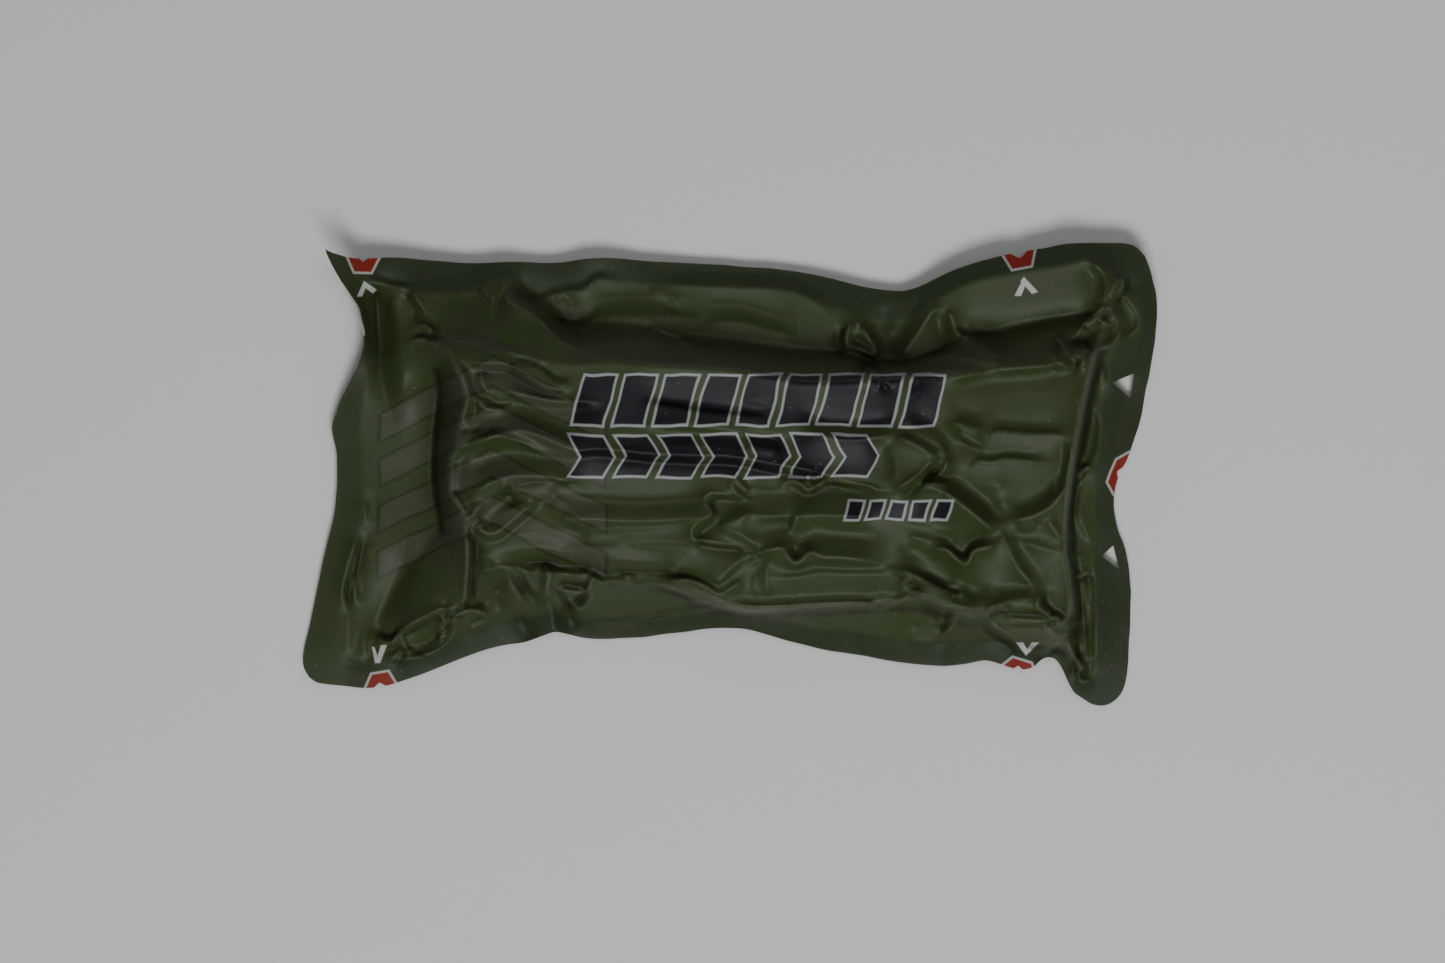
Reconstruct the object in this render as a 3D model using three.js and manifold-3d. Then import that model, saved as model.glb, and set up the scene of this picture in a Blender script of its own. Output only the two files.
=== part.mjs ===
// An emergency trauma bandage in its vacuum packed field pouch.
//
// Two plastic films, welded together along a flat border, are drawn down by vacuum onto a folded
// bandage. The bandage is a flat rolled block, and round it the two films lie on each other as a
// wavy skirt that ends in the weld border. The border has V-shaped tear notches and two triangular
// hang holes.
//
// Millimetres, +Z up. The pack lies on its back film, X along its length and +Y across it.
// The origin is at the middle of the footprint, on the surface that the pack lies on.

import * as THREE from 'three';
import { mergeVertices } from 'three/addons/utils/BufferGeometryUtils.js';
import Module from 'manifold-3d';

// ---------------------------------------------------------------- driving dimensions

const FILM = 0.5;            // thickness of each film
const GAP = 0.3;             // between the two films where they lie on each other
const CELLS_X = 46;          // film cells along the pack
const CELLS_Y = 24;          // film cells across the pack
const SKIRT_LIFT = 12;       // height of the skirt where it meets the bandage's sides
const SKIRT_REACH = 17;      // how far out from the bandage that lift fades
const CROWN = 1.2;           // how much the top face rises in its middle
const BASE_INSET = 3.5;      // the flat underside starts this far inside the upper edges
const BASE_WALL = 9;         // width over which the back film rises from the underside to the skirt
const NOTCH_WIDTH = 4.2;     // tear notch, along the border
const NOTCH_DEPTH = 2.0;     // tear notch, into the border
const CORE_CLEARANCE = 1.0;  // from the bandage to the films round it
const CORE_ROUNDING = 4.2;   // exponent of the bandage's rounded section

// The rim of the pouch, going once round in four sides. z is the rim's height: it waves.
// Sections along the pack: the upper edges of the bandage's long sides and how wide those sides
// slope outwards; ends: the same for its two short sides. A fold is a crest (or a valley, where its
// height is negative) along a route, with the width of its flank on the left and on the right.

const RIM_TOP = [
  { x: -124.6, y: 69.3, z: 25 },
  { x: -120.4, y: 67.7, z: 20 },
  { x: -113.3, y: 67.1, z: 13 },
  { x: -101.2, y: 66.8, z: 8 },
  { x: -82.6, y: 65.8, z: 6 },
  { x: -57.8, y: 65.6, z: 5 },
  { x: -39.0, y: 67.1, z: 9 },
  { x: -20.4, y: 65.8, z: 7 },
  { x: 4.5, y: 64.6, z: 6 },
  { x: 26.3, y: 62.1, z: 6 },
  { x: 41.9, y: 58.4, z: 5 },
  { x: 51.8, y: 57.1, z: 5 },
  { x: 63.6, y: 60.8, z: 8 },
  { x: 75.8, y: 65.7, z: 12 },
  { x: 91.1, y: 69.3, z: 14 },
  { x: 106.6, y: 71.4, z: 15 },
  { x: 120.7, y: 71.7, z: 12 },
  { x: 128.7, y: 67.8, z: 10 },
];

const RIM_RIGHT = [
  { x: 120.3, y: -69.9, z: 2 },
  { x: 124.0, y: -62.6, z: 2.5 },
  { x: 124.7, y: -45.4, z: 4 },
  { x: 124.4, y: -32.9, z: 5.5 },
  { x: 123.1, y: -24.1, z: 6 },
  { x: 120.7, y: -16.4, z: 5 },
  { x: 119.4, y: -9.5, z: 5 },
  { x: 119.8, y: -2.3, z: 6 },
  { x: 122.4, y: 3.9, z: 7 },
  { x: 125.9, y: 11.9, z: 9 },
  { x: 128.7, y: 23.1, z: 9 },
  { x: 131.6, y: 38.7, z: 8 },
  { x: 132.8, y: 51.2, z: 7 },
  { x: 131.3, y: 61.4, z: 8 },
  { x: 128.7, y: 67.8, z: 10 },
];

const RIM_BOTTOM = [
  { x: -131.5, y: -63.2, z: 2 },
  { x: -126.6, y: -65.4, z: 2 },
  { x: -107.8, y: -66.6, z: 3 },
  { x: -95.2, y: -61.9, z: 4 },
  { x: -82.8, y: -56.9, z: 4 },
  { x: -65.6, y: -51.3, z: 4 },
  { x: -54.7, y: -49.7, z: 5 },
  { x: -49.1, y: -50.7, z: 3 },
  { x: -40.7, y: -51.3, z: 3 },
  { x: -20.4, y: -49.7, z: 4 },
  { x: -1.7, y: -47.8, z: 5 },
  { x: 10.7, y: -49.7, z: 4 },
  { x: 29.5, y: -54.7, z: 3 },
  { x: 51.3, y: -58.3, z: 3 },
  { x: 66.8, y: -59.5, z: 4 },
  { x: 79.2, y: -57.9, z: 6 },
  { x: 88.5, y: -60.2, z: 7 },
  { x: 94.3, y: -58.9, z: 9 },
  { x: 97.9, y: -56.6, z: 11 },
  { x: 101.7, y: -58.3, z: 9 },
  { x: 105.0, y: -63.7, z: 6 },
  { x: 109.6, y: -69.7, z: 3 },
  { x: 115.3, y: -72.3, z: 2 },
  { x: 120.3, y: -69.9, z: 2 },
];

const RIM_LEFT = [
  { x: -131.5, y: -63.2, z: 2 },
  { x: -133.4, y: -58.2, z: 2 },
  { x: -131.5, y: -48.2, z: 2 },
  { x: -127.7, y: -29.5, z: 3 },
  { x: -124.0, y: -14.2, z: 3 },
  { x: -122.6, y: -0.2, z: 4 },
  { x: -123.8, y: 13.9, z: 5 },
  { x: -120.3, y: 25.0, z: 6 },
  { x: -115.6, y: 34.0, z: 10 },
  { x: -113.6, y: 41.6, z: 14 },
  { x: -115.3, y: 49.5, z: 18 },
  { x: -119.4, y: 58.6, z: 22 },
  { x: -124.6, y: 69.3, z: 25 },
];

const SECTIONS = [
  { x: -89.0, topY: 33.2, topWall: 5.6, bottomY: -28.7, bottomWall: 12.5, height: 31.0 },
  { x: -70.5, topY: 33.1, topWall: 7.5, bottomY: -28.0, bottomWall: 14.4, height: 32.5 },
  { x: -52.1, topY: 34.3, topWall: 8.8, bottomY: -28.6, bottomWall: 13.8, height: 33.5 },
  { x: -33.8, topY: 34.9, topWall: 10.0, bottomY: -30.4, bottomWall: 10.6, height: 34.0 },
  { x: -9.4, topY: 32.8, topWall: 10.0, bottomY: -37.2, bottomWall: 4.4, height: 34.0 },
  { x: 15.1, topY: 29.7, topWall: 9.4, bottomY: -40.8, bottomWall: 2.8, height: 34.0 },
  { x: 39.5, topY: 29.1, topWall: 8.8, bottomY: -39.6, bottomWall: 2.8, height: 34.0 },
  { x: 60.9, topY: 30.7, topWall: 11.2, bottomY: -38.4, bottomWall: 4.4, height: 33.5 },
  { x: 82.3, topY: 31.0, topWall: 13.8, bottomY: -44.5, bottomWall: 5.0, height: 33.5 },
  { x: 97.6, topY: 30.7, topWall: 16.2, bottomY: -49.4, bottomWall: 3.8, height: 32.5 },
  { x: 109.9, topY: 30.1, topWall: 17.5, bottomY: -52.2, bottomWall: 3.8, height: 31.5 },
];

const ENDS = [
  { y: -53.7, leftX: -82.2, leftWall: 5.0, rightX: 105.6, rightWall: 3.1 },
  { y: -41.5, leftX: -81.9, leftWall: 5.0, rightX: 104.4, rightWall: 3.1 },
  { y: -26.2, leftX: -80.0, leftWall: 5.6, rightX: 102.6, rightWall: 3.1 },
  { y: -14.0, leftX: -82.2, leftWall: 6.9, rightX: 102.6, rightWall: 2.8 },
  { y: -1.7, leftX: -86.1, leftWall: 8.4, rightX: 105.0, rightWall: 2.5 },
  { y: 10.5, leftX: -83.4, leftWall: 8.4, rightX: 106.2, rightWall: 2.8 },
  { y: 22.7, leftX: -81.3, leftWall: 7.5, rightX: 108.4, rightWall: 3.1 },
  { y: 41.1, leftX: -84.0, leftWall: 5.6, rightX: 109.9, rightWall: 3.8 },
];

const FOLDS = [
  { name: 'top_foot_roll', height: 2.6, left: 9, right: 4, route: [[-52.7, 47.1], [-24.9, 46.4], [2.9, 41.5], [36.2, 38.4]] },
  { name: 'corner_crease_top_left', height: 4.2, left: 9, right: 4, route: [[-98.1, 56.9], [-90.6, 41.5], [-85.1, 32.9]] },
  { name: 'curl_valley_top_left', height: -3.8, left: 7, right: 8, route: [[-109.5, 57.6], [-106.4, 44.6], [-103.3, 29.2]] },
  { name: 'tuck_top_left', height: 3.0, left: 8, right: 4, route: [[-70.3, 61.0], [-68.1, 53.2], [-54.2, 42.4], [-45.9, 37.8]] },
  { name: 'pillow_top', height: 3.6, left: 8, right: 8, route: [[33.2, 44.6], [38.7, 45.8], [44.9, 37.8]] },
  { name: 'valley_top', height: -3.0, left: 8, right: 8, route: [[49.8, 53.9], [48.6, 43.0], [46.1, 33.5]] },
  { name: 'arch_top', height: 3.4, left: 9, right: 6, route: [[53.2, 34.7], [61.6, 48.9], [67.7, 50.1], [70.8, 42.7]] },
  { name: 'shelf_top_right', height: 3.4, left: 10, right: 6, route: [[70.2, 43.7], [94.3, 47.7], [115.6, 52.6]] },
  { name: 'star_spur_top_right', height: 3.2, left: 5, right: 5, route: [[116.5, 53.5], [120.2, 61.0]] },
  { name: 'bulge_top_right', height: 2.8, left: 6, right: 5, route: [[117.8, 53.9], [124.6, 52.0], [124.6, 44.6], [117.8, 40.0]] },
  { name: 'right_fold_upper', height: 2.6, left: 5, right: 6, route: [[113.1, 40.0], [110.3, 23.9], [113.4, 10.6], [110.3, 2.0]] },
  { name: 'right_fold_lower', height: 3.6, left: 4, right: 6, route: [[109.7, -14.1], [111.3, -31.7], [111.0, -54.2], [109.1, -63.5]] },
  { name: 'plateau_fold_upper', height: -1.4, left: 5, right: 5, route: [[-49.6, 9.4], [-12.5, 6.3], [21.4, 1.4], [35.3, -0.5]] },
  { name: 'plateau_fold_lower', height: 1.8, left: 6, right: 5, route: [[-7.9, -7.0], [-11.9, -18.7], [6.0, -25.2], [20.8, -27.4], [28.2, -25.5]] },
  { name: 'plateau_step_right', height: 1.8, left: 6, right: 4, route: [[55.7, -3.0], [69.9, -8.2], [83.5, -17.2], [73.9, -24.9]] },
  { name: 'plateau_valley_lower', height: -1.6, left: 5, right: 5, route: [[22.7, -19.3], [40.0, -20.6], [59.7, -25.8], [68.4, -34.5]] },
  { name: 'plateau_ridge_right', height: 1.2, left: 5, right: 6, route: [[65.9, 10.0], [81.0, 12.5], [104.2, 11.6]] },
  { name: 'edge_ridge_left', height: 1.6, left: 5, right: 6, route: [[-84.2, 32.9], [-81.7, 23.0], [-84.5, 13.4], [-86.3, 1.4]] },
  { name: 'diagonal_ridge_left', height: 1.6, left: 5, right: 5, route: [[-78.6, -12.8], [-68.1, -6.0], [-53.9, -2.3], [-45.3, -1.4]] },
  { name: 'spur_bottom_left', height: 4.4, left: 6, right: 5, route: [[-81.7, -31.7], [-83.5, -40.6], [-92.2, -42.5], [-102.7, -48.7]] },
  { name: 'valley_bottom_left', height: -2.6, left: 6, right: 6, route: [[-95.9, -24.6], [-105.2, -36.9], [-111.3, -52.7]] },
  { name: 'pucker_left', height: 2.2, left: 5, right: 4, route: [[-112.9, -14.7], [-118.4, -26.4], [-119.1, -41.2]] },
  { name: 'hem_ridge_bottom', height: 2.0, left: 6, right: 3, route: [[-42.8, -28.6], [-20.3, -35.4], [5.1, -41.9], [41.5, -40.0], [58.8, -37.2]] },
  { name: 'crumple_bottom_left', height: 2.6, left: 6, right: 5, route: [[-70.3, -29.2], [-62.6, -33.2], [-56.4, -39.4]] },
  { name: 'corner_crease_bottom_right', height: 3.0, left: 6, right: 4, route: [[103.2, -48.7], [106.6, -55.8], [108.5, -61.6]] },
];

const HANG_HOLES = [
  { name: 'hole_upper', corners: [[118.4, 27.5], [126.0, 31.1], [124.8, 22.8]] },
  { name: 'hole_lower', corners: [[115.7, -25.4], [120.2, -21.8], [121.6, -29.9]] },
];

const TEAR_NOTCHES = [
  { name: 'top_left', x: -112.6, y: 66.4, outX: 0, outY: 1 },
  { name: 'top_right', x: 89.4, y: 68.8, outX: -0.2, outY: 0.98 },
  { name: 'right', x: 120.8, y: 1.1, outX: 0.93, outY: -0.36 },
  { name: 'bottom_right', x: 90.3, y: -60.2, outX: 0.0, outY: -1 },
  { name: 'bottom_left', x: -107.8, y: -66.0, outX: 0.1, outY: -1 },
];

// ---------------------------------------------------------------- helpers

const clamp01 = (t) => Math.min(1, Math.max(0, t));
const smooth = (t) => { const c = clamp01(t); return c * c * (3 - 2 * c); };
const mix = (a, b, t) => a + (b - a) * t;

// Value of a column of a table at a place, smoothly between its rows.
function lookUp(table, key, place, column) {
  if (place <= table[0][key]) return table[0][column];
  for (let i = 1; i < table.length; i++) {
    const a = table[i - 1], b = table[i];
    if (place <= b[key]) return mix(a[column], b[column], smooth((place - a[key]) / (b[key] - a[key])));
  }
  return table[table.length - 1][column];
}

// ---------------------------------------------------------------- rim

const rimCurve = (rows) =>
  new THREE.CatmullRomCurve3(rows.map((r) => new THREE.Vector3(r.x, r.y, r.z)), false, 'centripetal');
const rim = { top: rimCurve(RIM_TOP), right: rimCurve(RIM_RIGHT), bottom: rimCurve(RIM_BOTTOM), left: rimCurve(RIM_LEFT) };
for (const side of Object.values(rim)) side.arcLengthDivisions = 600;
const rimRows = [...RIM_TOP, ...RIM_RIGHT, ...RIM_BOTTOM, ...RIM_LEFT];

// Height that the rim's wave has inside the rim, fading from row to row.
function rimHeight(x, y) {
  let sum = 0, weight = 0;
  for (const r of rimRows) {
    const w = 1 / Math.pow((x - r.x) ** 2 + (y - r.y) ** 2 + 4, 1.6);
    sum += w * r.z;
    weight += w;
  }
  return sum / weight;
}

// ---------------------------------------------------------------- bandage block in the pouch

// 1 on the block, 0 outside the foot of its sides. grow moves all four edges outwards, and
// wall, where given, replaces the width of the sides.
function blockShare(x, y, grow = 0, wall = null) {
  const at = (column) => lookUp(SECTIONS, 'x', x, column);
  const end = (column) => lookUp(ENDS, 'y', y, column);
  const share = (inside, width) => smooth(1 + inside / width);
  const topWall = wall ?? at('topWall'), bottomWall = wall ?? at('bottomWall');
  const leftWall = wall ?? end('leftWall'), rightWall = wall ?? end('rightWall');
  return share(at('topY') + grow - y, topWall) * share(y - at('bottomY') + grow, bottomWall)
    * share(x - end('leftX') + grow, leftWall) * share(end('rightX') + grow - x, rightWall);
}

// The surface on which the two films meet.
function skirtHeight(x, y) {
  const near = blockShare(x, y, 0, SKIRT_REACH);
  return mix(rimHeight(x, y), SKIRT_LIFT, near);
}

function foldHeight(x, y) {
  let sum = 0;
  for (const fold of FOLDS) {
    let best = Infinity, side = 1, along = 0, run = 0, total = 0;
    for (let i = 1; i < fold.route.length; i++) {
      const [ax, ay] = fold.route[i - 1], [bx, by] = fold.route[i];
      const dx = bx - ax, dy = by - ay, length = Math.hypot(dx, dy);
      const t = clamp01(((x - ax) * dx + (y - ay) * dy) / (length * length));
      const d = Math.hypot(x - ax - t * dx, y - ay - t * dy);
      if (d < best) {
        best = d;
        side = dx * (y - ay) - dy * (x - ax) > 0 ? 1 : -1;
        along = total + t * length;
      }
      total += length;
    }
    run = along / total;
    const width = side > 0 ? fold.left : fold.right;
    const ends = 0.25 + 0.75 * Math.sin(Math.PI * clamp01(0.08 + 0.84 * run));
    sum += fold.height * ends * Math.exp(-Math.pow(best / (0.62 * width), 1.6));
  }
  return sum;
}

// Faces between the films and the bandage: front above, back below. They meet on the skirt.
const BASE = FILM + GAP / 2;
function backHeight(x, y) {
  const share = blockShare(x, y, -BASE_INSET, BASE_WALL);
  return mix(Math.max(skirtHeight(x, y), BASE + 0.4), BASE, share);
}
function frontHeight(x, y) {
  const height = lookUp(SECTIONS, 'x', x, 'height');
  const across = (y - 0) / 40, along = (x - 13) / 110;
  const top = height + CROWN * (1 - across * across - 0.5 * along * along);
  const skirt = Math.max(skirtHeight(x, y), BASE + 0.4);
  const share = blockShare(x, y);
  return Math.max(mix(skirt, top, share) + foldHeight(x, y) * borderFade(x, y), backHeight(x, y));
}

// Folds fade out over the weld border, which is stiff.
function borderFade(x, y) {
  let near = Infinity;
  for (const r of borderPoints) near = Math.min(near, (x - r.x) ** 2 + (y - r.y) ** 2);
  return smooth((Math.sqrt(near) - 5) / 6);
}
const borderPoints = Object.values(rim).flatMap((side) => side.getSpacedPoints(70));

// ---------------------------------------------------------------- film grid

// Cells are closer together near the block's steep sides.
function stations(count, dense) {
  const steps = 600, sums = [0];
  for (let i = 0; i < steps; i++) {
    const t = (i + 0.5) / steps;
    sums.push(sums[i] + 1 + dense.reduce((s, d) => s + d.gain * Math.exp(-(((t - d.at) / d.width) ** 2)), 0));
  }
  const total = sums[steps], found = [];
  for (let k = 0, i = 0; k <= count; k++) {
    while (i < steps && sums[i + 1] < (total * k) / count) i++;
    const a = sums[i], b = sums[Math.min(i + 1, steps)];
    found.push(Math.min(1, (i + (b > a ? ((total * k) / count - a) / (b - a) : 0)) / steps));
  }
  found[0] = 0;
  found[count] = 1;
  return found;
}
const US = stations(CELLS_X, [{ at: 0.16, width: 0.035, gain: 1.8 }, { at: 0.925, width: 0.03, gain: 2.2 }]);
const VS = stations(CELLS_Y, [{ at: 0.16, width: 0.06, gain: 1.2 }, { at: 0.72, width: 0.06, gain: 1.2 }]);

// Flat place of a grid point: the four sides of the rim, spread evenly over the inside.
function flatPlace(u, v) {
  const b = rim.bottom.getPointAt(u), t = rim.top.getPointAt(u), l = rim.left.getPointAt(v), r = rim.right.getPointAt(v);
  const c00 = rim.bottom.getPointAt(0), c10 = rim.bottom.getPointAt(1), c01 = rim.top.getPointAt(0), c11 = rim.top.getPointAt(1);
  const axis = (k) => (1 - v) * b[k] + v * t[k] + (1 - u) * l[k] + u * r[k]
    - ((1 - u) * (1 - v) * c00[k] + u * (1 - v) * c10[k] + (1 - u) * v * c01[k] + u * v * c11[k]);
  return [axis('x'), axis('y')];
}
const places = VS.map((v) => US.map((u) => flatPlace(u, v)));

// Normal of a height surface at a grid point, from its neighbours.
function gridNormals(points) {
  return points.map((row, j) => row.map((p, i) => {
    const left = points[j][Math.max(i - 1, 0)], right = points[j][Math.min(i + 1, CELLS_X)];
    const down = points[Math.max(j - 1, 0)][i], up = points[Math.min(j + 1, CELLS_Y)][i];
    return new THREE.Vector3().subVectors(right, left).cross(new THREE.Vector3().subVectors(up, down)).normalize();
  }));
}

// One film: a wall of the film's thickness, from near to far above (or below) a height surface.
function filmGeometry(heightAt, near, far) {
  const middle = places.map((row) => row.map(([x, y]) => new THREE.Vector3(x, y, heightAt(x, y))));
  const normals = gridNormals(middle);
  const layer = (offset) => middle.flatMap((row, j) => row.map((p, i) => p.clone().addScaledVector(normals[j][i], offset)));
  const upper = layer(Math.max(near, far)), lower = layer(Math.min(near, far));
  const points = [...upper, ...lower], count = upper.length, index = [];
  const id = (i, j, below) => j * (CELLS_X + 1) + i + (below ? count : 0);
  for (let j = 0; j < CELLS_Y; j++) {
    for (let i = 0; i < CELLS_X; i++) {
      const a = id(i, j), b = id(i + 1, j), c = id(i + 1, j + 1), d = id(i, j + 1);
      const short = points[a].distanceTo(points[c]) < points[b].distanceTo(points[d]);
      const faces = short ? [[a, b, c], [a, c, d]] : [[a, b, d], [b, c, d]];
      for (const [p, q, r] of faces) index.push(p, q, r, p + count, r + count, q + count);
    }
  }
  const ring = [];
  for (let i = 0; i < CELLS_X; i++) ring.push(id(i, 0));
  for (let j = 0; j < CELLS_Y; j++) ring.push(id(CELLS_X, j));
  for (let i = CELLS_X; i > 0; i--) ring.push(id(i, CELLS_Y));
  for (let j = CELLS_Y; j > 0; j--) ring.push(id(0, j));
  ring.forEach((a, k) => {
    const b = ring[(k + 1) % ring.length];
    index.push(a, a + count, b + count, a, b + count, b);
  });
  const geometry = new THREE.BufferGeometry();
  geometry.setAttribute('position', new THREE.Float32BufferAttribute(points.flatMap((p) => [p.x, p.y, p.z]), 3));
  geometry.setIndex(index);
  return geometry;
}

// ---------------------------------------------------------------- bandage

// The folded bandage: rounded sections lofted along the pack, clear of both films.
function bandageGeometry() {
  const stops = 22, around = 28, margin = CORE_CLEARANCE + FILM + GAP / 2;
  const x0 = ENDS[3].leftX + 3.5, x1 = ENDS[3].rightX - 2.5;
  const points = [], index = [];
  for (let s = 0; s < stops; s++) {
    const t = s / (stops - 1), x = mix(x0, x1, 0.5 - 0.5 * Math.cos(Math.PI * t) * (0.6 + 0.4 * Math.abs(Math.cos(Math.PI * t))));
    const end = Math.pow(clamp01(1 - Math.pow(Math.abs(2 * t - 1), 7)), 0.35) * 0.12 + 0.88;
    const yTop = lookUp(SECTIONS, 'x', x, 'topY') + 0.5, yBottom = lookUp(SECTIONS, 'x', x, 'bottomY') - 0.3;
    const yMiddle = (yTop + yBottom) / 2, yHalf = ((yTop - yBottom) / 2) * end;
    for (let k = 0; k < around; k++) {
      const angle = (2 * Math.PI * k) / around, c = Math.cos(angle), n = Math.sin(angle);
      const y = yMiddle + yHalf * Math.sign(c) * Math.pow(Math.abs(c), 2 / CORE_ROUNDING);
      let top = Infinity, floor = 0;
      for (const [dx, dy] of [[0, 0], [3, 0], [-3, 0], [0, 3], [0, -3], [2, 2], [-2, 2], [2, -2], [-2, -2]]) {
        top = Math.min(top, frontHeight(x + dx, y + dy));
        floor = Math.max(floor, backHeight(x + dx, y + dy));
      }
      top -= margin;
      floor += margin;
      const middle = (top + floor) / 2, half = Math.max((top - floor) / 2, 1);
      points.push(x, y, middle + half * Math.sign(n) * Math.pow(Math.abs(n), 2 / CORE_ROUNDING));
    }
  }
  for (let s = 0; s < stops - 1; s++) {
    for (let k = 0; k < around; k++) {
      const a = s * around + k, b = s * around + ((k + 1) % around), c = a + around, d = b + around;
      index.push(a, b, c, b, d, c);
    }
  }
  for (let k = 1; k < around - 1; k++) {
    const last = (stops - 1) * around;
    index.push(0, k + 1, k, last, last + k, last + k + 1);
  }
  const geometry = new THREE.BufferGeometry();
  geometry.setAttribute('position', new THREE.Float32BufferAttribute(points, 3));
  geometry.setIndex(index);
  return geometry;
}

// ---------------------------------------------------------------- cuts through the border

const wasm = await Module();
wasm.setup();

function toSolid(geometry) {
  const plain = geometry.clone();
  plain.deleteAttribute('normal');
  plain.deleteAttribute('uv');
  const merged = mergeVertices(plain.index ? plain : plain, 1e-4);
  return new wasm.Manifold(new wasm.Mesh({
    numProp: 3,
    vertProperties: new Float32Array(merged.attributes.position.array),
    triVerts: new Uint32Array(merged.index.array),
  }));
}

function toGeometry(solid) {
  const mesh = solid.getMesh(), geometry = new THREE.BufferGeometry();
  geometry.setAttribute('position', new THREE.Float32BufferAttribute(mesh.vertProperties, 3));
  geometry.setIndex(Array.from(mesh.triVerts));
  geometry.computeVertexNormals();
  return geometry;
}

function prism(corners) {
  const shape = new THREE.Shape(corners.map(([x, y]) => new THREE.Vector2(x, y)));
  const geometry = new THREE.ExtrudeGeometry(shape, { depth: 60, bevelEnabled: false, steps: 1 });
  geometry.translate(0, 0, -10);
  return toSolid(geometry);
}

const cutters = [
  ...HANG_HOLES.map((hole) => prism(hole.corners)),
  ...TEAR_NOTCHES.map(({ x, y, outX, outY }) => {
    const reach = 4, half = (NOTCH_WIDTH / 2) * ((NOTCH_DEPTH + reach) / NOTCH_DEPTH);
    const tip = [x - outX * NOTCH_DEPTH, y - outY * NOTCH_DEPTH], out = [x + outX * reach, y + outY * reach];
    return prism([tip, [out[0] - outY * half, out[1] + outX * half], [out[0] + outY * half, out[1] - outX * half]]);
  }),
];

function cutFilm(geometry) {
  let solid = toSolid(geometry);
  for (const cutter of cutters) solid = solid.subtract(cutter);
  return toGeometry(solid);
}

// ---------------------------------------------------------------- the pack

const front = cutFilm(filmGeometry(frontHeight, GAP / 2, GAP / 2 + FILM));
const back = cutFilm(filmGeometry(backHeight, -GAP / 2, -GAP / 2 - FILM));
const core = bandageGeometry();

// The origin goes to the middle of the footprint.
const box = new THREE.Box3();
for (const geometry of [front, back, core]) box.union(new THREE.Box3().setFromBufferAttribute(geometry.attributes.position));
const centre = box.getCenter(new THREE.Vector3());

function piece(name, geometry, material) {
  geometry.computeVertexNormals();
  const mesh = new THREE.Mesh(geometry, new THREE.MeshStandardMaterial(material));
  mesh.name = name;
  return mesh;
}

const pack = new THREE.Group();
pack.position.set(-centre.x, -centre.y, -box.min.z);
pack.add(
  piece('pouch_front', front, { color: 0x2f3423, roughness: 0.42, metalness: 0 }),
  piece('pouch_back', back, { color: 0x2f3423, roughness: 0.45, metalness: 0 }),
  piece('folded_bandage', core, { color: 0x4d5138, roughness: 0.95, metalness: 0 }),
);

export default pack;
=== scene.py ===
import math

import bmesh
import bpy
import numpy as np
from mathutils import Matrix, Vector


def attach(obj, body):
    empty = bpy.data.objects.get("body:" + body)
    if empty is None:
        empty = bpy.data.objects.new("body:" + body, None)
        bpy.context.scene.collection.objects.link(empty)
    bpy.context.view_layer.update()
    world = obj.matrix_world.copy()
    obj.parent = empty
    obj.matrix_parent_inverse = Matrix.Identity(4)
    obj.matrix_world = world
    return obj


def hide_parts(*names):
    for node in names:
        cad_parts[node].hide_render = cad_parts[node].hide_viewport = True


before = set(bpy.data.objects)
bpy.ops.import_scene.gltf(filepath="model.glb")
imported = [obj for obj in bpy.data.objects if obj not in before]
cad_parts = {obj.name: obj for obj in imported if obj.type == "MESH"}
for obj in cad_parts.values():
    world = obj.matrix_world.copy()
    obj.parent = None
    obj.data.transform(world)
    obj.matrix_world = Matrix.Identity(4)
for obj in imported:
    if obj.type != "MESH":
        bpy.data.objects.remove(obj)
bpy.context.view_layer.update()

# ------------------------------------------------------------------ places
# The folds are charted in the picture's frame of 1445 x 963 points, 3.2 of them to a
# millimetre on the table, with a height in millimetres. The camera looks straight down from
# CAM_D above the table, over the point (722.5, 481.5).

PER_MM = 3.2
CAM_D = 1500.0
MID_X, MID_Y = 722.5, 481.5
SHIFT_X, SHIFT_Y = -2.5 + 0.29, -2.1875 + 0.041


def to_mm(px, py, z):
    k = 1.0 - z / CAM_D
    return (px - MID_X) / PER_MM * k + SHIFT_X, (MID_Y - py) / PER_MM * k + SHIFT_Y


# ------------------------------------------------------------------ outline: x, y of the chart and height

TOP = [(325, 249, 25), (332, 252.5, 22), (340, 255, 19), (349, 257.5, 16), (365, 258.5, 12), (385, 257.5, 10), (405, 258, 9), (425, 260, 8), (445, 261.5, 7.5), (465, 263, 7), (485, 263, 7), (505, 262, 8), (525, 262, 7.5), (545, 263, 7), (565, 262, 7.5), (585, 259, 9), (605, 258, 9), (625, 259, 8), (645, 261, 7), (665, 262, 7), (685, 263, 6.5), (705, 264, 6), (725, 265, 6), (745, 267, 6), (765, 268, 6), (785, 270, 6), (805, 273, 6), (825, 277, 6), (845, 282, 6), (865, 287, 6), (885, 290, 6), (900, 291, 6), (912, 289, 7), (925, 284, 8), (945, 274, 9.5), (965, 266, 10.5), (985, 260, 11), (1005, 255, 11), (1025, 251, 11), (1045, 248, 11), (1065, 244, 12), (1085, 243, 12), (1105, 243, 11), (1125, 243.5, 10), (1136, 247, 9.5), (1145, 256, 9)]
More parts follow.
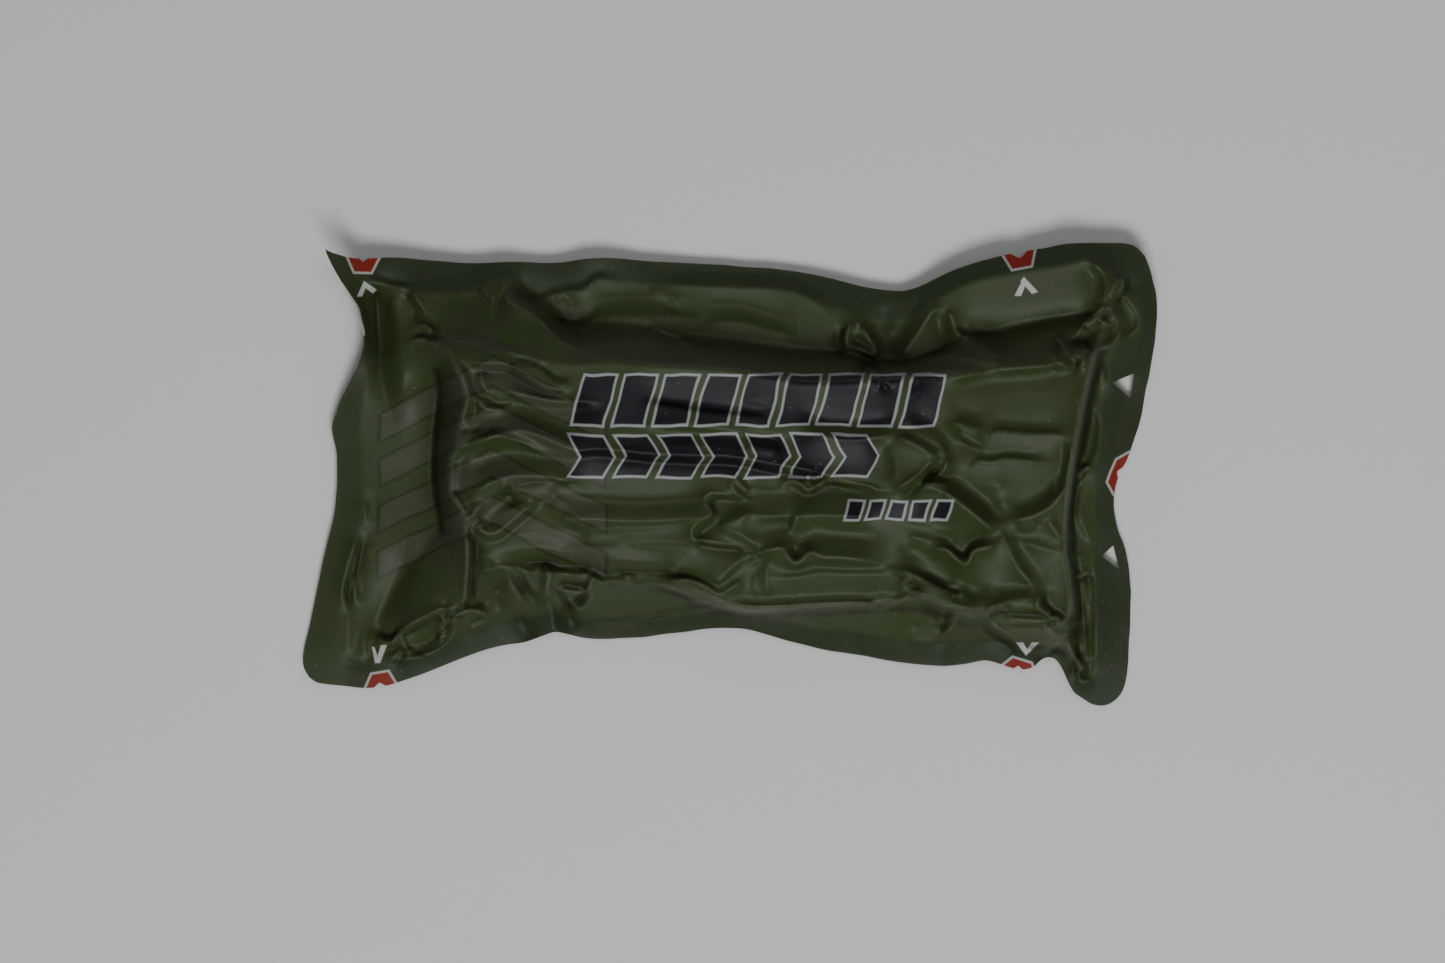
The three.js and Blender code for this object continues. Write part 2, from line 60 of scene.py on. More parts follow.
RIGHT = [(1145, 256, 9), (1150, 269, 8.5), (1153, 281, 8), (1156, 293, 8), (1157, 305, 7.5), (1157, 317, 7.5), (1156, 329, 8), (1155, 341, 8), (1153, 353, 6.5), (1151, 365, 5.5), (1149, 377, 3.8), (1146, 389, 2.8), (1144, 401, 2.4), (1142, 413, 2.4), (1139, 425, 3), (1135, 437, 4), (1131, 449, 4.5), (1126.5, 461, 5), (1122, 469, 4.5), (1117.5, 480, 4.5), (1115, 490, 4), (1114, 500, 4), (1114, 509, 3.5), (1116, 521, 3.2), (1119, 533, 3), (1124, 545, 3), (1127, 557, 3), (1129, 569, 3), (1130, 581, 3), (1131, 593, 3), (1130.5, 605, 3), (1130, 629, 4), (1129, 641, 3.5), (1128.6, 653, 3), (1128, 665, 3), (1126, 680, 2.5), (1122, 692, 2.2), (1116, 699.5, 2)]
BOTTOM = [(309, 677, 2), (316, 682, 2), (325, 684, 2), (345, 686, 2), (365, 688, 2.5), (385, 686, 3), (405, 680, 3.5), (425, 673, 4), (445, 665, 4), (465, 657, 4), (485, 650, 4), (505, 645, 4), (525, 642, 4.5), (545, 635, 5.5), (555, 632, 6), (565, 633.5, 4.5), (585, 638, 3), (605, 639, 3), (625, 638, 3), (645, 637, 3.5), (665, 634, 4), (685, 632, 4.5), (705, 629, 5), (725, 628, 5.5), (745, 629, 5), (765, 634, 4), (785, 640, 3.5), (805, 645, 3), (825, 650, 3), (845, 653, 3), (865, 656, 3), (885, 660, 3.5), (905, 663, 4), (925, 665, 4.5), (945, 666, 5), (965, 664, 6), (985, 660.5, 7), (1000, 664, 8), (1012, 668, 8.4), (1023, 669.5, 9), (1033, 667, 9.5), (1041, 660, 10), (1047.6, 657.4, 10.5), (1055, 659, 9.5), (1061.6, 667.6, 8), (1068, 681.6, 5.5), (1074, 692, 4), (1082, 698, 3), (1092, 704, 2.4), (1102, 705.6, 2.1), (1110, 703.5, 2), (1116, 699.5, 2)]
LEFT = [(309, 677, 2), (304, 668, 2), (303, 658, 2), (305, 645, 2), (309, 629, 2), (314, 605, 2.4), (319, 581, 3), (324, 557, 3.2), (330, 533, 3.5), (333, 521, 3.6), (335, 509, 3.8), (336, 497, 4), (337, 485, 4.2), (337, 461, 4.5), (336, 449, 4.8), (333, 437, 5), (332, 425, 5.2), (336, 413, 5.6), (340, 401, 6), (346, 389, 7), (352, 377, 8.5), (358, 365, 10), (362, 353, 12), (364, 341, 14), (362, 329, 15.5), (358, 317, 17), (355, 305, 18.5), (348, 293, 20), (341, 281, 21.5), (334, 269, 22.8), (328, 257, 24), (325, 249, 25)]

# ------------------------------------------------------------------ main form: lines of known height

FORM = [
    # weld border's inner edge
    ("seam_top", [(352, 272, 16), (364, 277, 14), (389, 280, 12), (412, 290, 13), (440, 290, 12), (470, 290, 11.5), (503, 278, 10.5), (530, 286, 10), (560, 292, 10), (582, 291, 10), (597, 282, 9.5), (647, 283, 9), (700, 285, 8.8), (756, 287, 8.8), (800, 294, 9), (835, 307, 9), (870, 318, 9.5), (905, 318, 10.5), (935, 300, 12.5), (969, 283, 14.5), (1010, 273, 15.5), (1050, 267, 16), (1087, 262, 16), (1100, 268, 15.5)]),
    ("seam_right", [(1122, 280, 13), (1140, 300, 10), (1144, 325, 9.5), (1138, 350, 10), (1128, 380, 4.6), (1122, 410, 4.2), (1116, 440, 5), (1108, 465, 6.5), (1101, 500, 5.5), (1098, 540, 4.5), (1096, 580, 4.5), (1096, 630, 6), (1096, 672, 4.2), (1088, 684, 3.8)]),
    ("seam_bottom", [(352, 660, 4), (380, 664, 4.5), (412, 658, 5.5), (440, 646, 6), (470, 634, 6.5), (505, 622, 7), (530, 618, 7.5), (552, 612, 9), (570, 618, 6.5), (600, 620, 5.5), (640, 618, 6), (690, 614, 7.5), (720, 612, 9), (745, 616, 9.5), (775, 621, 9), (820, 628, 8), (865, 634, 7.5), (905, 640, 7.5), (945, 642, 8), (985, 640, 10), (1012, 648, 11), (1034, 652, 12), (1056, 648, 12)]),
    ("seam_left", [(334, 648, 3.2), (340, 610, 4), (348, 570, 4.5), (358, 530, 5.2), (362, 490, 5.6), (362, 450, 6), (360, 428, 6.4), (364, 400, 7.5), (369, 372, 9), (371, 345, 10), (369, 318, 11.5), (363, 295, 14)]),
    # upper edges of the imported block
    ("edge_top", [(452, 352, 29.5), (475, 353, 30), (505, 358, 30.5), (543, 363, 31), (575, 364, 31.5), (604, 361, 32), (636, 364, 32.5), (691, 367, 33), (734, 370, 33), (767, 376, 33), (800, 382, 33), (843, 382, 33), (872, 379, 33), (900, 378, 33), (930, 375, 33), (958, 372, 32), (985, 373, 31), (1016, 368, 30.5), (1055, 367, 30), (1080, 364, 29.5), (1094, 358, 28.5)]),
    ("edge_left", [(452, 352, 29.5), (456, 368, 32.5), (464, 385, 33), (466, 402, 33), (461, 420, 33), (458, 435, 33), (451, 462, 33), (450, 491, 33), (461, 510, 33), (466, 527, 32.5)]),
    ("edge_bottom", [(466, 527, 31.5), (474, 546, 29.5), (487, 556, 28.5), (514, 563, 28), (545, 563, 28), (572, 565, 28.5), (604, 572, 29), (630, 574, 29.5), (669, 578, 30), (700, 592, 30.5), (721, 600, 29.5), (745, 608, 28.5), (778, 608, 28), (821, 605, 28), (865, 603, 28), (900, 599, 28.5), (919, 598, 28.5), (950, 606, 28.5), (985, 612, 28.5), (1010, 620, 30), (1036, 624, 29.5), (1062, 630, 28)]),
    ("edge_right", [(1062, 630, 27), (1072, 605, 28), (1070, 577, 28.5), (1066, 548, 29.5), (1066, 519, 32), (1069, 489, 32), (1074, 460, 32), (1079, 430, 32), (1085, 400, 31), (1091, 372, 29.5), (1094, 358, 28.5)]),
    # feet of its sides
    ("foot_top", [(560, 318, 10.5), (580, 322, 10), (604, 323, 9.5), (645, 323, 9), (691, 333, 9), (750, 341, 9), (800, 348, 9.5), (841, 353, 10), (862, 357, 10.5), (885, 360, 10.5), (905, 362, 10.5), (935, 352, 11.5), (962, 338, 13.5), (1022, 322, 14.5), (1060, 317, 15), (1088, 313, 14.5)]),
    ("foot_left", [(437, 370, 11), (438, 400, 9), (434, 440, 8), (433, 480, 8), (438, 510, 9), (441, 530, 10.5)]),
    ("foot_bottom", [(495, 588, 17), (520, 591, 16), (560, 594, 15.5), (604, 597, 14.5), (650, 600, 13), (690, 607, 11.5), (721, 611, 12), (745, 614, 14), (778, 615, 15.5), (821, 614, 16), (865, 612, 16), (900, 609, 16), (935, 615, 15.5), (970, 628, 14), (1000, 640, 11.5), (1030, 648, 11.5), (1060, 652, 10.5), (1070, 665, 8)]),
    ("foot_right", [(1074, 672, 5), (1078, 640, 7), (1079, 600, 8), (1076, 560, 9), (1072, 520, 9), (1075, 480, 9), (1080, 450, 9), (1085, 420, 9), (1091, 390, 9), (1097, 372, 9.5), (1103, 352, 12.5)]),
    # film stretched from the corners of the block
    ("tent_top_left", [(412, 290, 13.5), (420, 305, 16), (429, 320, 19), (438, 341, 25), (452, 352, 29.5)]),
    ("tent_bottom_left", [(466, 527, 32.5), (467, 548, 30), (467, 577, 24), (465, 598, 18.5), (462, 607, 17), (448, 611, 15.5), (437, 612, 14.5), (420, 620, 12), (400, 631, 9)]),
    ("tent_top_right", [(1094, 358, 28.5), (1098, 340, 24), (1104, 322, 20), (1108, 304, 17)]),
    ("tent_bottom_right", [(1062, 630, 28), (1066, 638, 24), (1074, 655, 15), (1080, 672, 8), (1084, 682, 5)]),
    # slack of the film over the skirt
    ("hollow_left", [(376, 292, 9), (377, 310, 6.5), (378, 335, 5), (379, 360, 5), (386, 390, 6), (394, 430, 6.5), (398, 468, 6.5)]),
    ("knee_left", [(394, 300, 14.5), (396, 325, 14), (399, 350, 13.5), (402, 380, 12.5), (404, 396, 10.5)]),
    ("hollow_bottom_left", [(432, 537, 10.5), (420, 553, 8.5), (407, 572, 7), (389, 597, 5.2), (374, 627, 4), (367, 645, 3.4), (366, 665, 3)]),
    ("crown", [(520, 440, 33.8), (600, 450, 34.4), (700, 455, 34.8), (800, 470, 34.8), (900, 480, 34.4), (1000, 485, 33.8)]),
]

# ------------------------------------------------------------------ folds
# rise: height of the crest above the hollow beside it; where that hollow lies from the crest (0, 0 where
# there is only a crest, or with a negative rise only a hollow); how far the fold reaches (b: broad,
# m: middle, f: fine); and the crest's route.

FOLDS = [
    # upper left corner and the fold that runs from it to the block
    (1.1, (1, -4), "f", [(366, 281), (378, 283), (390, 286), (404, 289), (413, 290)]),
    (1.6, (-5, 2), "f", [(413, 290), (417, 299), (422, 307), (427, 316)]),
    (-1.0, (0, 0), "f", [(427, 316), (431, 326), (436, 338), (441, 350)]),
    (0.8, (-2, 4), "f", [(416, 303), (424, 311), (430, 314), (436, 315)]),
    (1.0, (-1, 6), "f", [(416, 327), (425, 325), (432, 331)]),
    (1.2, (0, 6), "f", [(411, 343), (420, 339), (428, 340), (438, 345)]),
    (0.9, (0, -8), "m", [(425, 294), (450, 293), (480, 291)]),
    (-0.9, (0, 0), "m", [(458, 290), (466, 306), (480, 328)]),
    (0.9, (6, 0), "m", [(491, 318), (494, 298), (503, 276)]),
    (0.9, (-5, 0), "f", [(484, 285), (488, 296), (497, 300)]),
    (0.9, (0, -5), "f", [(436, 341), (450, 341), (466, 342), (482, 346), (500, 351), (524, 356), (543, 362)]),
    (-2.2, (0, 0), "m", [(374, 284), (380, 305), (384, 330), (390, 358)]),
    (-1.6, (0, 0), "m", [(414, 300), (424, 325), (434, 348)]),
    (-3.2, (0, 0), "m", [(442, 366), (440, 390), (436, 430), (436, 475), (442, 515)]),
    # upper edge of the block at the left
    (1.8, (0, 6), "f", [(463, 357), (470, 361), (481, 363), (495, 363), (508, 364), (520, 371), (534, 380), (550, 388), (572, 392)]),
    (1.0, (0, -5), "f", [(508, 364), (524, 366), (540, 372), (556, 383), (575, 386)]),
    (1.1, (0, 6), "f", [(496, 390), (512, 392), (528, 396), (548, 399), (575, 401), (600, 402)]),
    (1.2, (6, -4), "f", [(473, 394), (479, 403), (487, 409), (498, 410), (507, 407)]),
    (0.9, (-5, -2), "f", [(481, 372), (482, 384), (488, 395)]),
    (1.4, (7, 2), "f", [(456, 362), (460, 372), (463, 383), (466, 395), (466, 404), (463, 413), (459, 423), (458, 430)]),
    (1.1, (6, 2), "f", [(458, 430), (462, 440), (455, 452), (451, 461), (450, 476), (450, 490), (456, 500), (462, 510), (465, 520)]),
    (-0.9, (0, 0), "f", [(458, 429), (470, 430), (484, 428)]),
    (-0.7, (0, 0), "f", [(450, 491), (460, 491), (468, 488)]),
    (-0.5, (0, 0), "f", [(451, 461), (460, 463), (468, 470)]),
    # left of the block's top
    (2.6, (0, -12), "m", [(463, 447), (485, 440), (503, 433), (522, 431), (545, 438), (568, 448), (590, 452)]),
    (0.9, (0, -5), "f", [(466, 444), (486, 438), (500, 436), (520, 442), (545, 452), (575, 455)]),
    (3.0, (-3, -14), "m", [(466, 503), (480, 490), (496, 480), (516, 476), (540, 478), (562, 480), (585, 481)]),
    (1.6, (0, 8), "m", [(480, 505), (494, 497), (515, 490), (545, 484), (575, 482)]),
    (1.3, (2, 6), "f", [(463, 512), (466, 519), (472, 516), (476, 510), (481, 506), (480, 500)]),
    (1.4, (1, 5), "f", [(466, 527), (472, 526), (477, 527), (481, 531), (490, 534), (500, 531), (512, 521), (528, 508), (540, 499)]),
    (1.0, (5, -3), "f", [(474, 518), (479, 524), (486, 529)]),
    (1.4, (0, 6), "f", [(500, 489), (506, 485), (512, 487), (516, 493)]),
    (1.6, (-2, -9), "m", [(500, 512), (530, 500), (550, 496), (566, 502)]),
    (2.6, (0, -16), "b", [(555, 510), (575, 517), (600, 520), (640, 522), (690, 519), (725, 515)]),
    (1.0, (0, 6), "f", [(560, 516), (574, 521), (590, 527)]),
    (1.1, (0, -12), "b", [(560, 548), (610, 545), (660, 543), (710, 540)]),
    (1.0, (0, -12), "b", [(500, 552), (540, 548), (590, 556), (640, 562), (690, 566)]),
    # top skirt
    (0.6, (-1, -5), "f", [(519, 308), (532, 307), (543, 301), (553, 296), (570, 292), (584, 290), (590, 285), (597, 279), (606, 279), (622, 281)]),
    (4.6, (8, -7), "m", [(503, 278), (505, 290), (507, 300), (520, 308), (532, 315), (545, 326), (556, 338), (568, 345), (584, 350)]),
    (1.6, (0, -15), "b", [(588, 322), (605, 317), (640, 316), (675, 316), (705, 319)]),
    (0.7, (0, -6), "f", [(574, 324), (583, 327), (591, 322), (600, 318)]),
    (0.4, (0, 4), "f", [(530, 313), (548, 312), (562, 315), (572, 318)]),
    (0.4, (4, -4), "f", [(555, 297), (562, 303), (570, 312)]),
    (1.2, (8, 8), "m", [(648, 290), (662, 292), (672, 299), (680, 308)]),
    (1.0, (0, -7), "m", [(640, 284), (680, 285), (720, 287), (745, 288), (775, 288), (795, 292), (815, 302), (828, 312), (838, 323)]),
    (1.4, (-3, -14), "b", [(700, 322), (740, 322), (770, 330), (800, 338)]),
    (1.2, (0, 6), "f", [(606, 321), (640, 320), (662, 326), (691, 332), (720, 335), (750, 339), (780, 343), (800, 346), (820, 348), (838, 348)]),
    (0.9, (0, 5), "f", [(650, 325), (668, 334), (690, 343)]),
    (1.1, (0, -6), "m", [(604, 357), (640, 363), (680, 366), (720, 368), (748, 371), (767, 376), (800, 381), (843, 381), (860, 378)]),
    # pinch in the middle of the top
    (3.2, (7, 0), "m", [(850, 327), (857, 324), (864, 329), (870, 339), (875, 349), (877, 356)]),
    (1.8, (-5, 3), "f", [(853, 324), (848, 329), (846, 337), (848, 346), (851, 352)]),
    (1.5, (0, -5), "f", [(852, 350), (858, 348), (864, 351), (871, 355), (877, 357)]),
    (-2.0, (0, 0), "m", [(853, 366), (858, 373), (863, 366), (872, 363), (880, 361)]),
    (-1.6, (0, 0), "m", [(880, 308), (885, 319), (890, 331)]),
    (-1.2, (0, 0), "m", [(872, 312), (873, 328), (876, 342)]),
    (1.9, (-2, -7), "f", [(858, 381), (866, 376), (873, 372), (880, 378), (890, 386)]),
    (1.0, (5, 2), "f", [(873, 372), (877, 380), (880, 390)]),
    (2.6, (-8, -3), "m", [(899, 364), (905, 352), (912, 342), (920, 330), (928, 318), (933, 311), (940, 308), (947, 309)]),
    (2.4, (-7, 3), "m", [(948, 310), (953, 322), (956, 332), (960, 338)]),
    (1.2, (0, 6), "f", [(900, 364), (918, 359), (940, 356), (960, 353)]),
    (-1.2, (0, 0), "m", [(912, 376), (916, 382), (914, 390)]),
    # upper right
    (2.0, (5, -7), "m", [(956, 336), (968, 338), (975, 342), (985, 349), (995, 356), (1004, 361)]),
    (0.9, (0, 5), "f", [(958, 356), (975, 361), (990, 363), (1004, 362)]),
    (1.4, (0, -5), "f", [(956, 332), (962, 337), (969, 336)]),
    (-1.0, (0, 0), "f", [(960, 334), (972, 333), (990, 333), (1010, 329), (1030, 324), (1050, 319), (1070, 316), (1090, 314)]),
    (1.7, (0, 6), "m", [(940, 381), (962, 377), (985, 371), (1010, 368), (1035, 366), (1056, 363), (1072, 359), (1086, 352)]),
    (0.9, (-5, 3), "f", [(1048, 352), (1056, 360), (1067, 368)]),
    (2.0, (7, 3), "f", [(1108, 301), (1112, 291), (1119, 276)]),
    (1.6, (5, 0), "f", [(1119, 276), (1123, 285), (1120, 294)]),
    (1.6, (-4, 1), "m", [(1108, 303), (1105, 295), (1105, 284), (1104, 275), (1097, 268), (1089, 263)]),
    (1.7, (4, 4), "f", [(1108, 303), (1100, 311), (1090, 318), (1082, 328), (1074, 338)]),
    (1.7, (-5, 2), "m", [(1110, 300), (1118, 297), (1127, 299), (1134, 306), (1139, 315), (1140, 322), (1136, 330), (1128, 335), (1119, 340)]),
    (1.2, (-3, 5), "f", [(1108, 303), (1112, 313), (1116, 321), (1121, 325)]),
    (1.6, (-4, -3), "f", [(1119, 327), (1117, 339), (1110, 346), (1098, 350)]),
    (1.5, (3, 5), "f", [(1084, 327), (1092, 321), (1098, 319), (1104, 323), (1111, 326)]),
    (1.4, (5, 2), "f", [(1098, 320), (1092, 329), (1084, 337)]),
    (1.7, (-2, -6), "f", [(1070, 352), (1080, 350), (1090, 352), (1093, 358), (1090, 363)]),
    (1.4, (-4, 3), "f", [(1071, 352), (1077, 356), (1083, 357), (1083, 363), (1078, 369)]),
    (-1.8, (0, 0), "m", [(1074, 346), (1082, 341), (1091, 337), (1100, 335)]),
    (1.2, (-5, -3), "f", [(1056, 338), (1063, 345), (1067, 356)]),
    (1.2, (-3, 0), "m", [(1098, 350), (1104, 359), (1108, 372), (1108, 386)]),
    (1.0, (7, -4), "m", [(1074, 245), (1081, 253), (1089, 262)]),
    # right end
    (1.4, (6, 1), "f", [(1092, 366), (1090, 385), (1087, 400), (1083, 421), (1077, 446), (1074, 470), (1071, 492), (1067, 520)]),
    (1.4, (6, 0), "f", [(1067, 520), (1066, 548), (1068, 566), (1070, 582), (1072, 602), (1075, 625)]),
    (1.2, (-2.2, 0), "m", [(1087, 399), (1094, 409), (1099, 423), (1098, 440), (1095, 455), (1090, 466)]),
    (2.0, (-4, -5), "f", [(1091, 466), (1084, 469), (1080, 478)]),
    (1.0, (-1.8, 0), "m", [(1082, 474), (1080, 490), (1077, 511), (1082, 526), (1089, 540), (1092, 550)]),
    (1.4, (-3, 0), "m", [(1092, 550), (1094, 575), (1095, 600), (1095, 640), (1095, 668), (1092, 679)]),
    (0.3, (-3.5, 0), "f", [(1080, 556), (1083, 580), (1087, 620), (1090, 660)]),
    (1.2, (0, 4), "f", [(1077, 578), (1084, 574), (1091, 572)]),
    (1.6, (0, -5), "f", [(1077, 678), (1084, 682), (1091, 680)]),
    (1.6, (5, 1), "f", [(1066, 638), (1070, 648), (1076, 658), (1081, 666), (1079, 673), (1077, 678)]),
    # right of the block's top
    (1.6, (0, -8), "m", [(951, 423), (965, 426), (984, 431)]),
    (1.2, (2, 6), "f", [(956, 430), (968, 438), (984, 445)]),
    (1.4, (0, -4.5), "m", [(985, 445), (989, 439), (991, 433), (1000, 431), (1020, 433), (1040, 434), (1056, 434), (1066, 437), (1071, 441)]),
    (1.3, (-6, 0), "f", [(1071, 441), (1072, 455), (1070, 470), (1068, 483)]),
    (2.4, (-3, -9), "m", [(1068, 483), (1062, 493), (1055, 502), (1047, 509), (1036, 515), (1022, 519), (1005, 522)]),
    (0.9, (0, -5), "f", [(970, 470), (975, 463), (981, 461), (992, 462), (1008, 459), (1026, 461), (1048, 462)]),
    (2.2, (0, -14), "m", [(640, 424), (680, 427), (720, 431), (755, 435), (785, 436)]),
    (1.2, (0, -7), "f", [(742, 447), (758, 447), (770, 449), (782, 453)]),
    (2.2, (0, -9), "m", [(796, 426), (815, 434), (835, 438), (860, 439), (885, 436), (900, 431)]),
    (2.0, (3, -9), "m", [(900, 430), (915, 433), (930, 440), (940, 447), (945, 456), (946, 464), (942, 472), (933, 477), (922, 478)]),
    (1.6, (2, -6), "f", [(893, 438), (905, 440), (918, 446), (930, 454), (941, 462)]),
    (2.2, (4, 5), "f", [(941, 462), (932, 461), (925, 468), (915, 477), (905, 484), (893, 490)]),
    (1.0, (-6, 0), "m", [(886, 446), (893, 455), (896, 470), (893, 482)]),
    (1.0, (0, -8), "m", [(640, 400), (680, 408), (720, 414), (760, 416)]),
    (1.0, (0, -9), "m", [(650, 446), (700, 446), (750, 450), (800, 455)]),
    # long pleat across the block's top
    (1.8, (0, 5), "f", [(566, 456), (590, 449), (615, 450), (650, 454), (675, 455), (700, 456), (722, 456), (748, 459), (765, 463), (790, 467), (806, 470), (818, 473), (836, 477), (850, 480), (870, 484), (890, 488)]),
    (1.6, (0, 5), "f", [(783, 486), (788, 482), (794, 481), (801, 485), (808, 490), (815, 486), (823, 482), (836, 481), (850, 483), (864, 484), (873, 487), (878, 491), (892, 490)]),
    (2.8, (0, -20), "b", [(742, 512), (765, 516), (790, 516), (820, 515), (850, 516), (880, 518)]),
    (0.9, (-4, 0), "f", [(798, 514), (795, 523), (791, 533)]),
    (0.9, (5, 0), "f", [(808, 471), (808, 480), (809, 488)]),
    (4.4, (6, -8), "m", [(906, 488), (920, 488), (933, 489), (945, 493), (957, 501), (970, 511), (982, 521), (992, 530), (999, 538)]),
    (1.0, (0, 5), "f", [(920, 484), (935, 484), (948, 486)]),
    (2.4, (-1, -7), "f", [(1000, 543), (990, 547), (980, 549), (973, 551), (970, 556), (969, 562), (965, 565), (960, 562), (953, 555), (947, 550), (938, 549), (928, 551)]),
    (1.6, (0, -9), "b", [(905, 535), (930, 540), (955, 543)]),
    (1.8, (7, -1), "m", [(1002, 524), (1004, 536), (1010, 549), (1016, 563), (1024, 575), (1031, 584), (1037, 592)]),
    (1.1, (1, 5), "m", [(1005, 522), (1012, 530), (1025, 529), (1040, 524)]),
    (1.0, (5, -2), "f", [(1047, 519), (1055, 530), (1062, 542)]),
    (0.8, (0, -6), "m", [(1008, 538), (1040, 547), (1060, 553)]),
    (-1.8, (0, 0), "f", [(1078, 450), (1074, 470), (1071, 500), (1068, 520), (1067, 548), (1072, 562), (1076, 580), (1080, 600), (1084, 630), (1087, 655)]),
    # lower middle
    (1.3, (6, 4), "f", [(752, 500), (742, 498), (735, 496), (722, 494), (710, 493), (704, 498), (707, 505), (711, 512), (706, 518), (696, 524), (691, 532), (694, 539), (706, 541), (722, 544), (740, 546), (748, 553), (756, 558)]),
    (1.2, (5, 1), "f", [(728, 481), (733, 487), (738, 494), (745, 498)]),
    (1.1, (4, -3), "f", [(735, 478), (740, 487), (748, 492)]),
    (1.6, (3, -10), "m", [(715, 528), (735, 520), (752, 513)]),
    (1.4, (2, 8), "m", [(715, 528), (735, 532), (750, 540), (762, 550)]),
    (3.6, (3, -14), "m", [(743, 551), (750, 556), (757, 555), (766, 551), (775, 549), (782, 548), (787, 554), (791, 561), (796, 565), (801, 562), (806, 556), (811, 552), (817, 555), (825, 558), (840, 558), (856, 560), (872, 563), (888, 567)]),
    (3.4, (5, -11), "m", [(888, 567), (902, 570), (916, 575), (930, 583), (944, 590), (957, 592)]),
    (-1.6, (0, 0), "f", [(791, 546), (795, 553), (797, 560)]),
    (0.9, (0, -5), "m", [(766, 577), (785, 578), (800, 577), (812, 574), (826, 573), (842, 574), (858, 574), (874, 574), (890, 575), (902, 578)]),
    (0.7, (-7, 0), "f", [(768, 562), (766, 575), (767, 588), (770, 598)]),
    (0.7, (-5, -1), "m", [(757, 572), (754, 584), (758, 594)]),
    (1.3, (0, 6), "m", [(705, 570), (718, 580), (727, 573), (738, 562), (748, 556)]),
    (2.3, (5, -5), "m", [(716, 595), (728, 589), (740, 578), (750, 568), (758, 562)]),
    (1.0, (0, -6), "f", [(672, 580), (688, 579), (700, 583), (711, 589), (720, 594)]),
    (1.7, (0, -4), "m", [(700, 598), (720, 602), (740, 605), (760, 607), (780, 607), (800, 606), (820, 605), (840, 604), (860, 604), (880, 602), (895, 600), (907, 597), (917, 593)]),
    (1.0, (0, -3), "f", [(664, 588), (680, 592), (692, 597), (706, 602), (722, 607), (745, 611), (770, 611)]),
    (1.2, (0, -4), "f", [(858, 605), (868, 606), (880, 610), (892, 605), (905, 600), (915, 597)]),
    (3.8, (5, -10), "m", [(900, 584), (912, 590), (925, 596), (940, 602), (956, 606), (972, 609), (986, 612)]),
    (0.9, (4, 2), "f", [(901, 585), (906, 580), (914, 580)]),
    (0.8, (-4, 2), "f", [(901, 584), (904, 590), (912, 593), (919, 593), (923, 597), (921, 601)]),
    (1.2, (-3, 3), "f", [(948, 586), (957, 585), (962, 589), (961, 594), (954, 595)]),
    (-1.8, (0, 0), "m", [(922, 602), (930, 608), (937, 615), (941, 621)]),
    (2.2, (-5, -3), "f", [(959, 614), (955, 621), (951, 628), (944, 636)]),
    (1.2, (-2, -5), "f", [(941, 622), (950, 619), (958, 614), (968, 615), (980, 620)]),
    (1.0, (0, -9), "m", [(908, 640), (920, 641), (938, 642)]),
    (-0.5, (0, 0), "f", [(899, 609), (905, 616), (912, 623), (921, 626)]),
    (0.9, (0, -8), "m", [(940, 660), (955, 648), (966, 643), (980, 633), (992, 624)]),
    (0.9, (-8, 0), "m", [(866, 612), (868, 628), (864, 645)]),
    (1.0, (6, -2), "m", [(790, 613), (805, 619), (830, 626)]),
    # lower right corner of the block
    (1.8, (0, -8), "m", [(990, 606), (1005, 602), (1022, 599), (1036, 599)]),
    (1.5, (0, 5), "f", [(986, 612), (990, 608), (996, 607), (1003, 608), (1009, 612)]),
    (1.8, (0, 6), "m", [(1009, 608), (1022, 608), (1036, 606)]),
    (2.2, (6, -2), "f", [(1036, 591), (1038, 598), (1037, 605), (1041, 610), (1049, 615), (1058, 620), (1068, 623)]),
    (1.2, (0, -4), "f", [(998, 624), (1010, 629), (1030, 629), (1046, 629), (1060, 626), (1068, 623)]),
    (1.0, (0, -5), "f", [(996, 616), (1015, 621), (1040, 622), (1058, 622)]),
    (1.8, (-5, 4), "f", [(986, 613), (992, 622), (1000, 628), (1008, 634), (1018, 642), (1028, 652)]),
    (1.4, (2, -4), "f", [(1040, 628), (1050, 633), (1058, 637), (1065, 638)]),
    (1.4, (0, 5), "f", [(1064, 639), (1055, 645), (1045, 650), (1033, 652)]),
    (1.3, (5, 2), "f", [(1068, 623), (1068, 631), (1066, 638)]),
    # lower left
    (2.0, (6, 1), "f", [(358, 533), (353, 548), (349, 560), (346, 571), (343, 585), (342, 595), (344, 603), (347, 610)]),
    (0.9, (5, 0), "f", [(359, 548), (355, 566), (353, 585), (354, 604)]),
    (0.7, (6, 0), "m", [(347, 612), (349, 632), (346, 655)]),
    (0.9, (4, -4), "m", [(360, 500), (366, 512), (363, 526)]),
    (3.6, (6, 1), "f", [(466, 530), (467, 546), (467, 562), (466, 577), (465, 592), (463, 605)]),
    (1.8, (0, 6), "f", [(463, 606), (455, 608), (447, 609), (440, 609), (433, 612), (424, 617), (414, 622), (406, 627), (399, 631)]),
    (1.6, (3, -5), "f", [(441, 611), (443, 618), (447, 623)]),
    (2.0, (2, -5), "f", [(447, 623), (455, 617), (463, 612), (471, 610), (480, 612), (487, 616)]),
    (1.2, (-6, 0), "f", [(447, 624), (442, 632), (440, 638), (445, 641)]),
    (1.7, (-3, -7), "f", [(457, 621), (454, 632), (447, 642), (439, 649), (428, 654), (414, 657), (400, 659), (390, 660)]),
    (1.1, (6, 0), "f", [(400, 632), (402, 641), (407, 650), (414, 656)]),
    (1.6, (1, -5), "f", [(378, 632), (379, 639), (386, 643), (393, 642), (396, 636), (400, 631)]),
    (1.0, (3, 3), "f", [(389, 661), (395, 656), (399, 650)]),
    (-0.6, (0, 0), "f", [(343, 663), (354, 664), (365, 665)]),
